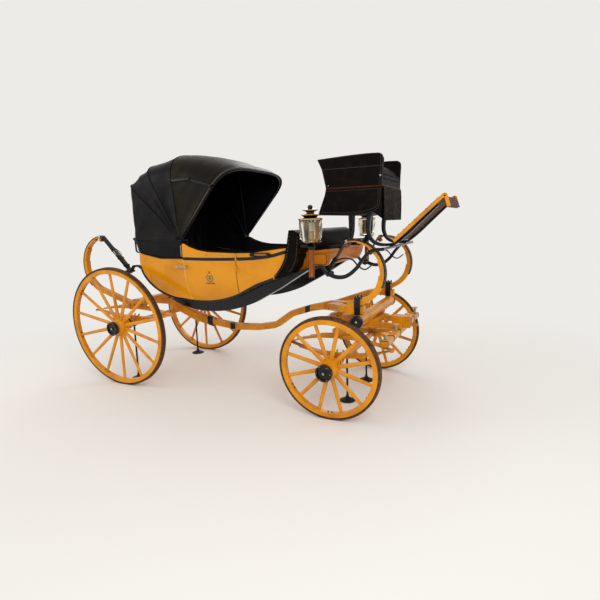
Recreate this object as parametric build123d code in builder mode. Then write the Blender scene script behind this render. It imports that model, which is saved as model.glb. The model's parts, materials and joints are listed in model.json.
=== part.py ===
# Hooded horse carriage on eight springs: four leaf C-springs, four elliptic springs, leather
# braces that hang the body, a perch that joins the axles and a folding leather hood.
# Millimetres. +X is the way it travels, +Y its left-hand side, +Z up. The origin is on the
# ground in the middle of its length. Places along the car are first given ahead of the rear
# axle, and the function at() turns them into X.
import os
from math import acos, cos, degrees, radians, sin, sqrt, tan

from build123d import *

os.makedirs("parts", exist_ok=True)

# Wheels and track
wheelbase = 2255
track = 1445
camber = 3.42
rear_radius = 600
front_radius = 428
rear_spokes = 14
front_spokes = 12
tyre_thick = 13
tyre_wide = 38
felloe_deep = 46
felloe_wide = 42
nave_radius = 82
nave_end_radius = 58
nave_inner = 120
cap_radius = 69
rear_cap_reach = 74
front_cap_reach = 112
arm_radius = 21
arm_gap = 0.05
spoke_foot = (19, 14)
spoke_tip = (14, 11)

# Leaf springs
spring_half_track = 480
leaf_wide = 54
c_leaf = 9
elliptic_leaf = 8
elliptic_leaves = 4
rear_elliptic_half = 518
front_elliptic_half = 450
axle_beam = 48
front_axle_beam = 44
rear_elliptic_high = 148
front_elliptic_high = 198

# Body
body_half_wide = 590
body_bottom_half_wide = 515
wall = 28
door_rear = 775
door_rear_foot = 799
door_front = 1356
door_gap = 3
sill_outer = 512
sill_inner = 450
hinge_radius = 7

# Hood
hood_pivot = (752, 1440)
hood_leather = 5
bow_pivot_boss = 17

# Overall ends, ahead of the rear axle: the rear brace's back and the footboard's nose
rearmost = -642.3
foremost = 3096
seat_gap = 0.3

rear_x = -(rearmost + foremost) / 2


def at(x, z):
    """Turns a place ahead of the rear axle and its height into a point of a side drawing."""
    return (rear_x + x, z)


def side(y):
    """The drawing plane parallel to the car's middle plane, at a distance y to its left."""
    return Plane(origin=(0, y, 0), x_dir=(1, 0, 0), z_dir=(0, -1, 0))


def turned(centre, radius, angle, way=1):
    """A point on a circle of a side drawing. way is 1 for angles from +X, -1 from -X."""
    x = centre[0] + way * radius * cos(radians(angle))
    return (x, centre[1] + radius * sin(radians(angle)))


def arc_through(centre, radius, start, end, way=1):
    """Adds an arc of a side drawing about a centre, from one angle to another."""
    middle = (start + end) / 2
    return ThreePointArc(
        turned(centre, radius, start, way),
        turned(centre, radius, middle, way),
        turned(centre, radius, end, way),
    )


def strip(points, bend, thick):
    """Adds to a sketch a strip of one thickness along points, rounded at each bend."""
    with BuildLine() as path:
        FilletPolyline(*points, radius=bend)
    trace(path.line, line_width=thick)


def finish(piece, name):
    """Labels a finished piece and writes its file."""
    piece.label = name
    export_step(piece, "parts/" + name + ".step")


# Wheels. A wheel turns about an axle arm that points down and outwards by the camber. The
# rim is dished outwards from the nave by the same angle, so the lowest spoke is upright, and
# the tyre is coned, so that it stands flat on the ground.
lean = radians(camber)
half_track = track / 2


def hub_plane(x, radius, hand):
    """Plane through a wheel's hub: x outwards along the axle arm, y towards the rim."""
    return Plane(
        origin=(rear_x + x, hand * half_track, radius * cos(lean)),
        x_dir=(0, hand * cos(lean), -sin(lean)),
        z_dir=(hand, 0, 0),
    )


def cone_at(radius, out):
    """Radius of the coned rim at a distance outwards of the wheel's plane."""
    return radius - out * tan(lean)


def ring(radius, deep, wide, gap):
    """Adds to a sketch the section of a coned ring, its outside gap inside the radius."""
    half = wide / 2
    inner_edge = cone_at(radius, -half) - gap
    outer_edge = cone_at(radius, half) - gap
    Polygon(
        (-half, inner_edge),
        (half, outer_edge),
        (half, outer_edge - deep),
        (-half, inner_edge - deep),
        align=None,
    )


def nave_profile(reach):
    """Points of half the nave: a turned barrel from its inner end to the cap's seat."""
    seat = reach - cap_seat
    return [
        (-nave_inner, arm_radius + arm_gap),
        (-nave_inner, nave_end_radius),
        (-nave_inner + 34, nave_end_radius + 4),
        (-spoke_line - 26, nave_radius),
        (-spoke_line + 26, nave_radius),
        (seat - 8, nave_end_radius + 6),
        (seat, nave_end_radius + 2),
        (seat, arm_radius + arm_gap),
    ]


spoke_line = 32
cap_seat = 36
arm_end_gap = 6
spoke_angles = {rear_spokes: 0, front_spokes: 15}

wheel_table = [
    # name, place ahead of the rear axle, radius, spokes, cap's reach
    ("rear", 0, rear_radius, rear_spokes, rear_cap_reach),
    ("front", wheelbase, front_radius, front_spokes, front_cap_reach),
]
hands = [("left", 1), ("right", -1)]

for place, x, radius, spokes, reach in wheel_table:
    for word, hand in hands:
        hub = hub_plane(x, radius, hand)
        arm_line = Axis(hub.origin, hub.x_dir)
        felloe_outer = radius - tyre_thick
        spoke_top = felloe_outer - felloe_deep + 10
        spoke_low = nave_radius - 12
        with BuildPart() as wheel:
            with BuildSketch(hub):
                ring(felloe_outer, felloe_deep, felloe_wide, seat_gap)
            revolve(axis=arm_line)
            with BuildSketch(hub):
                Polygon(*nave_profile(reach), align=None)
            revolve(axis=arm_line)
            for number in range(spokes):
                turn = spoke_angles[spokes] + number * 360 / spokes
                out = hub.y_dir * cos(radians(turn)) + hub.z_dir * sin(radians(turn))
                dish = (radius - spoke_low) * tan(lean)
                along = Plane(
                    origin=hub.origin - hub.x_dir * dish + out * spoke_low,
                    x_dir=hub.x_dir.cross(out),
                    z_dir=(hub.x_dir * tan(lean) + out).normalized(),
                )
                with BuildSketch(along):
                    Ellipse(*spoke_foot)
                with BuildSketch(along.offset((spoke_top - spoke_low) / cos(lean))):
                    Ellipse(*spoke_tip)
                loft()
        finish(wheel.part, place + "_wheel_" + word)

        with BuildPart() as tyre:
            with BuildSketch(hub):
                ring(radius, tyre_thick, tyre_wide, 0)
            revolve(axis=arm_line)
        finish(tyre.part, place + "_tyre_" + word)

        # The cap: a turned cover on the nave's end, its face sunk in a ring
        seat = reach - cap_seat
        with BuildPart() as cap:
            with BuildSketch(hub):
                Polygon(
                    (seat, 0),
                    (seat, cap_radius - 6),
                    (seat + 8, cap_radius),
                    (reach - 5, cap_radius),
                    (reach, cap_radius - 7),
                    (reach, cap_radius - 16),
                    (reach - 12, cap_radius - 20),
                    (reach - 12, 18),
                    (reach - 4, 14),
                    (reach - 4, 0),
                    align=None,
                )
            revolve(axis=arm_line)
        finish(cap.part, place + "_hub_cap_" + word)

# Axles: a square beam whose turned collars and arms carry the wheels
axle_table = [
    # name, place ahead of the rear axle, wheel radius, beam's depth, cap's reach
    ("rear", 0, rear_radius, axle_beam, rear_cap_reach),
    ("front", wheelbase, front_radius, front_axle_beam, front_cap_reach),
]
collar_face = -nave_inner - 1.0
beam_end = half_track + collar_face - 20
beam_lift = (half_track - beam_end) * tan(lean)


def beam_middle(radius):
    """Height of an axle beam's middle line."""
    return radius * cos(lean) + beam_lift


for place, x, radius, beam, reach in axle_table:
    with BuildPart() as axle:
        with BuildSketch(Plane.XZ.offset(-beam_end)):
            with Locations(at(x, beam_middle(radius))):
                RectangleRounded(beam, beam, 7)
        extrude(amount=2 * beam_end)
        for word, hand in hands:
            hub = hub_plane(x, radius, hand)
            with BuildSketch(hub):
                Polygon(
                    (collar_face - 60, 0),
                    (collar_face - 60, beam / 2 - 2),
                    (collar_face - 34, beam / 2 - 2),
                    (collar_face - 30, nave_end_radius - 4),
                    (collar_face - 20, nave_end_radius - 4),
                    (collar_face - 16, nave_end_radius - 14),
                    (collar_face - 10, nave_end_radius - 4),
                    (collar_face, nave_end_radius - 4),
                    (collar_face, arm_radius),
                    (reach - cap_seat - arm_end_gap, arm_radius),
                    (reach - cap_seat - arm_end_gap, 0),
                    align=None,
                )
            revolve(axis=Axis(hub.origin, hub.x_dir))
    finish(axle.part, place + "_axle")

# Elliptic springs: two bows of leaves joined at their eyes, the longest leaf innermost
leaf_step = 0.21
eye_radius = 11
seat_block = 84

elliptic_table = [
    # name, place ahead of the rear axle, top of the axle beam, half length, height
    ("rear", 0, beam_middle(rear_radius) + axle_beam / 2, rear_elliptic_half,
     rear_elliptic_high),
    ("front", wheelbase, beam_middle(front_radius) + front_axle_beam / 2,
     front_elliptic_half, front_elliptic_high),
]

for place, x, seat, half, high in elliptic_table:
    eye_z = seat + high / 2
    sag = high / 2 - (elliptic_leaves - 0.5) * elliptic_leaf
    main_radius = (half ** 2 + sag ** 2) / (2 * sag)
    with BuildPart() as springs:
        for word, hand in hands:
            with BuildSketch(side(hand * spring_half_track)):
                for up in (1, -1):
                    centre_z = eye_z + up * (sag - main_radius)
                    for number in range(elliptic_leaves):
                        reach = half * (1 - leaf_step * number)
                        radius = main_radius + number * elliptic_leaf
                        drop = radius - sqrt(radius ** 2 - reach ** 2)
                        tip_z = centre_z + up * (radius - drop)
                        with BuildLine():
                            ThreePointArc(
                                at(x - reach, tip_z),
                                at(x, centre_z + up * radius),
                                at(x + reach, tip_z),
                            )
                        trace(line_width=elliptic_leaf)
                    pack = elliptic_leaves * elliptic_leaf
                    with Locations(at(x, eye_z + up * (high - pack) / 2)):
                        Rectangle(seat_block, pack)
                for end in (-1, 1):
                    with Locations(at(x + end * half, eye_z)):
                        Circle(eye_radius)
            extrude(amount=leaf_wide / 2, both=True)
    finish(springs.part, place + "_elliptic_springs")

rear_spring_top = elliptic_table[0][2] + rear_elliptic_high
front_spring_top = elliptic_table[1][2] + front_elliptic_high

# C-springs: leaves round one centre, then a tangent run and a wider bend into a level foot.
# Angles are counted from the side where the foot lies.
scroll_radius = 58
scroll_turn = 50
brace_thick = 7
brace_wide = 60
fork_top = 900
foot_boss = 33
foot_boss_long = 60
loop_boss = 14

c_table = [
    # name, centre, radius, top angle, exit angle, bend radius, foot height, foot end, way,
    # leaf end angles, brace's foot angle, body loop's boss
    ("rear", (-335, 1190), 300, 100, 252, 250, rear_spring_top, 110, 1,
     (100, 114, 142, 172, 204), 226, (-20, 1130)),
    ("front", (2385, 1165), 260, 85, 242, 120, fork_top, 2340, -1,
     (85, 100, 126, 154, 184), 205, (2190, 1160)),
]

for place, middle, radius, top, leave, bend, foot_z, foot_x, way, ends, low, loop in c_table:
    centre = at(*middle)
    run = (centre[1] + (radius - bend) * sin(radians(leave)) - foot_z - bend) / -cos(
        radians(leave)
    )
    bend_x = (radius - bend) * cos(radians(leave)) - run * sin(radians(leave))
    bend_centre = (centre[0] + way * bend_x, foot_z + bend)
    scroll = turned(centre, radius - scroll_radius, top, way)
    with BuildPart() as c_springs:
        for word, hand in hands:
            with BuildSketch(side(hand * spring_half_track)):
                for number, end in enumerate(ends):
                    depth = (number + 0.5) * c_leaf
                    with BuildLine():
                        if number == 0:
                            arc_through(
                                scroll, scroll_radius - depth, top - scroll_turn, top, way
                            )
                        arc_through(centre, radius - depth, end, leave, way)
                        Line(
                            turned(centre, radius - depth, leave, way),
                            turned(bend_centre, bend - depth, leave, way),
                        )
                        arc_through(bend_centre, bend - depth, leave, 270, way)
                        Line(
                            turned(bend_centre, bend - depth, 270, way),
                            (rear_x + foot_x, foot_z + depth),
                        )
                    trace(line_width=c_leaf)
            extrude(amount=leaf_wide / 2, both=True)
            if place == "rear":
                boss_z = foot_z + foot_boss + 1
                with BuildSketch(side(hand * spring_half_track)):
                    Polygon(
                        at(foot_x - 6, boss_z),
                        at(foot_x - 6, boss_z + 17),
                        at(foot_x + 14, boss_z + 15),
                        at(foot_x + foot_boss_long - 8, boss_z + foot_boss),
                        at(foot_x + foot_boss_long, boss_z + foot_boss),
                        at(foot_x + foot_boss_long, boss_z),
                        align=None,
                    )
                revolve(axis=Axis((0, hand * spring_half_track, boss_z), (1, 0, 0)))
    finish(c_springs.part, place + "_c_springs")

    # The brace: a strap over the back of the C, round its end and straight to the body loop
    line = seat_gap + brace_thick / 2
    boss = at(*loop)
    over = scroll_radius + line
    around = loop_boss + line
    span_x = way * (boss[0] - scroll[0])
    span_z = boss[1] - scroll[1]
    span = sqrt(span_x ** 2 + span_z ** 2)
    slope = degrees(acos(span_x / span)) * (1 if span_z > 0 else -1)
    off = slope + degrees(acos((over - around) / span))
    with BuildPart() as braces:
        for word, hand in hands:
            with BuildSketch(side(hand * spring_half_track)):
                with BuildLine():
                    arc_through(centre, radius + line, low, top, way)
                    arc_through(scroll, over, top, off, way)
                    Line(turned(scroll, over, off, way), turned(boss, around, off, way))
                    arc_through(boss, around, off, off - 250, way)
                trace(line_width=brace_thick)
            extrude(amount=brace_wide / 2, both=True)
    finish(braces.part, place + "_braces")

# Perch: a curved beam from the rear bed to a fork that carries the front C-springs
perch_deep = 62
perch_bend = 160
bed_half = 45
bed_deep = 56
fork_deep = 56
fork_end = 2480
tongue_end = 2377
bolster_top = 782
perch_rear_z = rear_spring_top - perch_deep / 2
fork_z = fork_top - fork_deep / 2
tongue_z = bolster_top + perch_deep / 2

with BuildPart() as fork:
    with BuildSketch(Plane.XY):
        for word, hand in hands:
            with BuildLine():
                FilletPolyline(
                    (rear_x + 1850, 0),
                    (rear_x + 1960, 0),
                    (rear_x + 2290, hand * spring_half_track),
                    (rear_x + fork_end, hand * spring_half_track),
                    radius=110,
                )
            trace(line_width=fork_deep)
    extrude(amount=fork_top + 100)
    with BuildSketch(side(0)):
        strip(
            [at(1780, 760), at(1960, 792), at(2250, fork_z), at(fork_end, fork_z)],
            200,
            fork_deep,
        )
    extrude(amount=body_half_wide, both=True, mode=Mode.INTERSECT)

with BuildPart() as perch:
    with BuildSketch(side(0)):
        strip(
            [
                at(-130, perch_rear_z),
                at(100, perch_rear_z),
                at(408, 612),
                at(696, 547),
                at(940, 520),
                at(1216, 535),
                at(1420, 573),
                at(1600, 700),
                at(1790, 762),
                at(2000, tongue_z),
                at(tongue_end, tongue_z),
            ],
            perch_bend,
            perch_deep,
        )
    extrude(amount=perch_deep / 2, both=True)
    with BuildSketch(side(0)):
        strip(
            [at(130, perch_rear_z - 24), at(408, 606), at(660, 548)],
            perch_bend,
            perch_deep + 34,
        )
    extrude(amount=perch_deep / 3, both=True)
    add(fork.part)
    with BuildSketch(side(0)):
        Polygon(
            at(2000, bolster_top),
            at(tongue_end, bolster_top),
            at(tongue_end, bolster_top - 90),
            at(2000, bolster_top - 90),
            align=None,
        )
    extrude(amount=perch_deep, both=True, mode=Mode.SUBTRACT)

    # The bed ties the feet of the rear C-springs together over the perch
    with BuildSketch(side(0)):
        with Locations(at(0, rear_spring_top + bed_deep / 2)):
            RectangleRounded(2 * bed_half, bed_deep, 8)
    extrude(amount=spring_half_track - leaf_wide / 2, both=True)
finish(perch.part, "perch")

# Fore-carriage. The perch's tongue carries a bolster with the kingpin, and below it two
# ring plates slide on each other when the front axle is steered.
ring_thick = 14
ring_inner = 208
ring_outer = 250
ring_gap = 0.5
kingpin_radius = 15
transom_radius = 49
transom_x = 2427
transom_half = 522
transom_cap = 26
bolster_half_x = 40
bolster_half_y = 300
fore_bed_half_y = 520
futchell_y = 150
futchell_half = 20
futchell_rear = wheelbase - 265
splinter_x = wheelbase + 415
splinter_half_y = 600
splinter_wide = 60
splinter_deep = 48
clamp_wall = 9

plate_top = bolster_top - 52
upper_ring_low = plate_top - ring_thick
lower_ring_top = upper_ring_low - ring_gap
fore_frame_top = lower_ring_top - ring_thick
front_pin = (rear_x + wheelbase, 0)
transom_z = plate_top + transom_radius

with BuildPart() as bolster:
    with BuildSketch(side(0)):
        with Locations(at(wheelbase, (plate_top + bolster_top) / 2)):
            Rectangle(2 * bolster_half_x, bolster_top - plate_top)
    extrude(amount=bolster_half_y, both=True)
    chamfer(bolster.faces().filter_by(Axis.Y).edges().filter_by(Axis.Z), 12)
    with BuildSketch(Plane.XY.offset(front_spring_top - 20)):
        with Locations(front_pin):
            Circle(kingpin_radius)
    extrude(amount=plate_top - front_spring_top + 30)
    with BuildSketch(Plane.XY.offset(upper_ring_low)):
        with Locations(front_pin):
            Circle(ring_outer)
            Circle(ring_inner, mode=Mode.SUBTRACT)
    extrude(amount=ring_thick)
finish(bolster.part, "front_bolster")

# The transom: a turned bar with black caps under the fork's ends
c_foot_top = fork_top + 5 * c_leaf
clamp_hole = fork_deep / 2 + seat_gap
with BuildPart() as transom:
    with BuildSketch(Plane.XZ.offset(-transom_half)):
        with Locations(at(transom_x, transom_z)):
            Circle(transom_radius)
    extrude(amount=2 * transom_half)
    for word, hand in hands:
        with BuildSketch(Plane(origin=(rear_x + transom_x, hand * transom_half, transom_z),
                               x_dir=(0, hand, 0), z_dir=(hand, 0, 0))):
            Polygon(
                (0, 0),
                (0, transom_radius + 4),
                (transom_cap - 8, transom_radius + 4),
                (transom_cap - 2, transom_radius - 8),
                (transom_cap - 2, 18),
                (transom_cap, 12),
                (transom_cap, 0),
                align=None,
            )
        revolve(axis=Axis((rear_x + transom_x, 0, transom_z), (0, 1, 0)))

    # A clamp on the transom holds each front C-spring's foot on the fork's end
    for word, hand in hands:
        with BuildSketch(Plane(origin=(rear_x + transom_x - 24, 0, 0), x_dir=(0, 1, 0),
                               z_dir=(1, 0, 0))):
            low = transom_z + transom_radius - 8
            with Locations((hand * spring_half_track, (low + c_foot_top + 26) / 2)):
                RectangleRounded(2 * clamp_hole + 2 * clamp_wall, c_foot_top + 26 - low, 6)
            hole_low = fork_top - fork_deep - seat_gap
            hole_top = c_foot_top + 16
            with Locations((hand * spring_half_track, (hole_low + hole_top) / 2)):
                Rectangle(2 * clamp_hole, hole_top - hole_low, mode=Mode.SUBTRACT)
        extrude(amount=48)
finish(transom.part, "front_transom")

# The frame that steers: a bed over the elliptic springs and two futchells for the pole
with BuildPart() as fore_frame:
    with BuildSketch(Plane.XY.offset(front_spring_top)):
        with Locations(front_pin):
            Rectangle(2 * bolster_half_x, 2 * fore_bed_half_y)
        for hand in (1, -1):
            with Locations(((rear_x + (futchell_rear + splinter_x) / 2),
                            hand * futchell_y)):
                Rectangle(splinter_x - futchell_rear + splinter_wide, 2 * futchell_half)
        with Locations((rear_x + futchell_rear, 0)):
            Rectangle(44, 2 * futchell_y + 2 * futchell_half)
        with Locations(front_pin):
            Circle(kingpin_radius + arm_gap, mode=Mode.SUBTRACT)
    extrude(amount=fore_frame_top - front_spring_top)
    with BuildSketch(Plane.XY.offset(fore_frame_top)):
        with Locations(front_pin):
            Circle(ring_outer)
            Circle(ring_inner, mode=Mode.SUBTRACT)
    extrude(amount=ring_thick)
finish(fore_frame.part, "fore_frame")

# The splinter bar under the futchells, with the roller bolts that hold the horses' traces.
# It turns with them below the transom.
roller_radius = 12
roller_flange = 27
roller_high = 60
socket_wide = 72
socket_high = 76
socket_wall = 12
socket_long = 160
socket_low = front_spring_top - socket_wall
socket_top = socket_low + socket_high + 2 * socket_wall
socket_x = splinter_x - socket_long / 2
with BuildPart() as splinter_bar:
    with BuildSketch(side(0)):
        with Locations(at(splinter_x, front_spring_top - splinter_deep / 2)):
            RectangleRounded(splinter_wide, splinter_deep, 9)
    extrude(amount=splinter_half_y, both=True)
    for y in (-560, -230, 230, 560):
        with BuildSketch(Plane(origin=(rear_x + splinter_x, y, front_spring_top),
                               x_dir=(1, 0, 0), z_dir=(0, -1, 0))):
            Polygon(
                (0, 0),
                (roller_flange, 0),
                (roller_flange, 7),
                (roller_radius, 7),
                (roller_radius, roller_high - 8),
                (roller_flange, roller_high - 8),
                (roller_flange, roller_high),
                (0, roller_high),
                align=None,
            )
        revolve(axis=Axis((rear_x + splinter_x, y, 0), (0, 0, 1)))

    # The pole socket: an open iron frame let into the bar, between the futchells
    with BuildSketch(Plane(origin=(rear_x + socket_x, 0, 0), x_dir=(0, 1, 0),
                           z_dir=(1, 0, 0))):
        with Locations((0, (socket_low + socket_top) / 2)):
            Rectangle(socket_wide + 2 * socket_wall, socket_high + 2 * socket_wall)
            Rectangle(socket_wide, socket_high, mode=Mode.SUBTRACT)
    extrude(amount=socket_long)
finish(splinter_bar.part, "splinter_bar")

# Four thin stands under the axles take the weight off the wheels while it is parked
stand_rod = 9
stand_foot = 70
stand_head = 30
stand_table = [
    # place ahead of the rear axle, distance from the middle, underside of the axle beam
    (0, 500, beam_middle(rear_radius) - axle_beam / 2),
    (wheelbase, 282, beam_middle(front_radius) - front_axle_beam / 2),
]
with BuildPart() as stands:
    for x, y, top in stand_table:
        for hand in (1, -1):
            with BuildSketch(side(hand * y)):
                Polygon(
                    at(x, 0),
                    at(x + stand_foot, 0),
                    at(x + stand_foot, 8),
                    at(x + 20, 30),
                    at(x + stand_rod, 60),
                    at(x + stand_rod, top - 24),
                    at(x + stand_head, top - 10),
                    at(x + stand_head, top - seat_gap),
                    at(x, top - seat_gap),
                    align=None,
                )
            revolve(axis=Axis((rear_x + x, hand * y, 0), (0, 0, 1)))
finish(stands.part, "axle_stands")

# Body. A boat-shaped tub: its side drawing, its width seen from the front and its plan are
# cut against each other, and the same drawings set in by the wall make its hollow.
front_view = Plane(origin=(0, 0, 0), x_dir=(0, 1, 0), z_dir=(1, 0, 0))
sill_edge = (1709, 1102)
sill_slope = 0.348
dash_rear = [(1738, 1112.4), (1791, 1187), (1848, 1293), (1889, 1514)]
dash_front = [(1983, 1477), (1962, 1293), (1925, 1205), (1880, 1161.8)]
dash_half_wide = 620
belt_top = [(1858, 1373), (1511, 1330), (1345, 1327), (1054, 1337), (946, 1354),
            (852, 1384), (797, 1413), (door_rear, 1413)]
hood_seat = [(710, 1279), (512, 1285), (339, 1312), (223, 1374)]


def keel_lines():
    """Adds the lower outline of the body from its rear corner to the foot of the dash."""
    ThreePointArc(at(205, 1372), at(241, 1202), at(330, 1048))
    ThreePointArc(at(330, 1048), at(480, 931), at(700, 879))
    ThreePointArc(at(700, 879), at(1050, 873), at(1343, 950))
    Line(at(1343, 950), at(1540, 1043))
    Line(at(1540, 1043), at(*sill_edge))


body_front = [(x - seat_gap, z) for x, z in dash_rear[:3]]
widths = {}
for name, inset in (("outer", 0), ("inner", wall), ("core", wall + door_gap)):
    with BuildPart() as block:
        with BuildSketch(front_view):
            low = body_bottom_half_wide - inset
            high = body_half_wide - inset
            with BuildLine():
                Polyline((-low, 700), (low, 700), (low, 866))
                ThreePointArc((low, 866), (high - 20, 1010), (high, 1190))
                Polyline((high, 1190), (high, 1500), (-high, 1500), (-high, 1190))
                ThreePointArc((-high, 1190), (20 - high, 1010), (-low, 866))
                Line((-low, 866), (-low, 700))
            make_face()
        extrude(amount=1700, both=True)
        with BuildSketch(Plane.XY.offset(700)):
            long = 1870 - 200 - 2 * inset
            with Locations((rear_x + 200 + inset + long / 2, 0)):
                RectangleRounded(long, 2 * high, 80 - inset)
        extrude(amount=800, mode=Mode.INTERSECT)
    widths[name] = block.part

with BuildPart() as outer_tub:
    with BuildSketch(side(0)):
        with BuildLine():
            keel_lines()
            Polyline(at(*sill_edge), *[at(*point) for point in body_front + belt_top])
            Polyline(at(door_rear, 1413), at(door_rear, 1279),
                     *[at(*point) for point in hood_seat], at(205, 1372))
        make_face()
    extrude(amount=body_half_wide + 20, both=True)
    add(widths["outer"], mode=Mode.INTERSECT)

with BuildPart() as hollow:
    with BuildSketch(side(0)):
        with BuildLine():
            ThreePointArc(at(234, 1340), at(270, 1206), at(352, 1070))
            ThreePointArc(at(352, 1070), at(494, 958), at(702, 907))
            ThreePointArc(at(702, 907), at(1046, 901), at(1333, 977))
            Polyline(at(1333, 977), at(1529, 1069), at(1696, 1128), at(1764, 1204),
                     at(1818, 1302), at(1832, 1500), at(234, 1500), at(234, 1340))
        make_face()
    extrude(amount=body_half_wide, both=True)
    add(widths["inner"], mode=Mode.INTERSECT)

# The door's outline seen from the side, and the same grown by the gap round it
door_outline = {}
for name, gap in (("door", door_gap / 2), ("opening", -door_gap / 2)):
    with BuildPart() as block:
        with BuildSketch(side(0)):
            Polygon(
                at(door_rear + gap, 1500),
                at(door_rear + gap, 1265),
                at(door_rear_foot + gap, 884),
                at(door_rear_foot + gap, 800),
                at(door_front - gap, 800),
                at(door_front - gap, 1500),
                align=None,
            )
        extrude(amount=body_half_wide + 20, both=True)
        with BuildSketch(side(0)):
            Rectangle(4000, 4000)
        extrude(amount=body_bottom_half_wide / 2, both=True, mode=Mode.SUBTRACT)
    door_outline[name] = block.part

with BuildPart() as tub:
    add(outer_tub.part)
    add(hollow.part, mode=Mode.SUBTRACT)
    add(door_outline["opening"] - widths["core"], mode=Mode.SUBTRACT)
finish(tub.part, "body_tub")

# Doors: the curved wall between the cuts, hinged on its front edge
door_hinge_z = (1195, 1290)
hinge_high = 26
leaf_thick = 3
door_axis_x = rear_x + door_front
door_axis_y = body_half_wide + hinge_radius
hinge_pin = 3.5

for word, hand in hands:
    with BuildPart() as door:
        add(outer_tub.part)
        add(outer_tub.part.moved(Location((0, 0, door_gap))), mode=Mode.INTERSECT)
        add(door_outline["door"], mode=Mode.INTERSECT)
        add(widths["inner"], mode=Mode.SUBTRACT)
        with BuildSketch(Plane.XY):
            with Locations((0, -hand * 1000)):
                Rectangle(4000, 2000)
        extrude(amount=2000, mode=Mode.SUBTRACT)
        for z in door_hinge_z:
            with BuildSketch(Plane.XY.offset(z)):
                with Locations((door_axis_x - 17, hand * (body_half_wide + leaf_thick / 2 - 1))):
                    Rectangle(31, leaf_thick + 2)
                with Locations((door_axis_x, hand * door_axis_y)):
                    Circle(hinge_radius)
                with Locations((door_axis_x - 4, hand * (body_half_wide + leaf_thick / 2 + 1))):
                    Rectangle(8, leaf_thick)
                with Locations((door_axis_x, hand * door_axis_y)):
                    Circle(hinge_pin + arm_gap, mode=Mode.SUBTRACT)
            extrude(amount=hinge_high)
    finish(door.part, "door_" + word)

with BuildPart() as door_hinges:
    for word, hand in hands:
        for z in door_hinge_z:
            with BuildSketch(Plane.XY.offset(z - hinge_high - ring_gap)):
                with Locations((door_axis_x, hand * door_axis_y)):
                    Circle(hinge_radius)
                with Locations((door_axis_x + 17, hand * (body_half_wide + seat_gap
                                                         + leaf_thick / 2))):
                    Rectangle(34, leaf_thick)
            extrude(amount=hinge_high)
            with BuildSketch(Plane.XY.offset(z - hinge_high)):
                with Locations((door_axis_x, hand * door_axis_y)):
                    Circle(hinge_pin)
            extrude(amount=2 * hinge_high - 2)
finish(door_hinges.part, "door_hinges")

# Door handles: a lever on a short spindle that points back over the door's rear edge
handle_z = 1200
handle_x = 812
for word, hand in hands:
    with BuildPart() as handle:
        with BuildSketch(side(hand * (body_half_wide + seat_gap))):
            with Locations(at(handle_x, handle_z)):
                Circle(9)
        extrude(amount=-hand * 24)
        with BuildSketch(side(hand * (body_half_wide + 18))):
            with Locations(at(handle_x - 48, handle_z)):
                SlotOverall(120, 20)
                SlotOverall(84, 7, mode=Mode.SUBTRACT)
        extrude(amount=-hand * 8)
    finish(handle.part, "door_handle_" + word)

# Body irons: the black edge under each side, with the loops that the braces hold
iron_edge = 14
iron_drop = 16
loop_half = 14
iron_mid = (sill_outer + sill_inner) / 2
loop_rear = (-20, 1130)
loop_front = (2190, 1160)
shackle_reach = 34
shackle_bar = 10
cheek_in = brace_wide / 2 + 1
cheek_thick = 8
rear_shackle = at(loop_rear[0] + shackle_reach, loop_rear[1] + 3)
front_shackle = at(loop_front[0] - shackle_reach, loop_front[1] + 3)
with BuildPart() as body_irons:
    for word, hand in hands:
        with BuildSketch(side(hand * iron_mid)):
            with BuildLine():
                ThreePointArc(at(520, 884), at(725, 809), at(980, 781))
                ThreePointArc(at(980, 781), at(1245, 811), at(1495, 893))
                Polyline(at(1495, 893), at(1729, 1017), at(2040, 1206),
                         at(2005, sill_edge[1] + (2005 - sill_edge[0]) * sill_slope),
                         at(*sill_edge), at(1540, 1043), at(1343, 950))
                ThreePointArc(at(1343, 950), at(1050, 873), at(700, 879))
                Line(at(700, 879), at(520, 884))
            make_face()
            with BuildLine() as edge:
                ThreePointArc(at(262, 1150), at(300, 1086), at(330, 1048))
                ThreePointArc(at(330, 1048), at(480, 931), at(700, 879))
            trace(edge.line, line_width=2 * iron_edge)
        extrude(amount=(sill_outer - sill_inner) / 2, both=True)
        with BuildSketch(side(hand * spring_half_track)):
            with BuildLine() as rear_loop:
                FilletPolyline(rear_shackle, at(48, 1186), at(118, 1190), at(300, 1072),
                               radius=24)
            trace(rear_loop.line, line_width=20)
            with BuildLine() as front_loop:
                FilletPolyline(at(1990, 1188), at(2040, 1207), at(2116, 1214),
                               front_shackle, radius=20)
            trace(front_loop.line, line_width=22)
        extrude(amount=loop_half, both=True)
        for eye, shackle in ((loop_rear, rear_shackle), (loop_front, front_shackle)):
            with BuildSketch(side(hand * spring_half_track)):
                with Locations(shackle):
                    Circle(shackle_bar)
                with Locations(at(*eye)):
                    Circle(loop_boss)
            extrude(amount=cheek_in + cheek_thick, both=True)
            for cheek in (1, -1):
                near = hand * spring_half_track - cheek * (cheek_in + cheek_thick)
                with BuildSketch(side(near)):
                    with BuildLine() as cheek_line:
                        Line(at(*eye), shackle)
                    trace(cheek_line.line, line_width=2 * shackle_bar)
                    with Locations(at(*eye)):
                        Circle(loop_boss + 3)
                extrude(amount=-cheek * cheek_thick)
    add(outer_tub.part, mode=Mode.SUBTRACT)
finish(body_irons.part, "body_irons")

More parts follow.
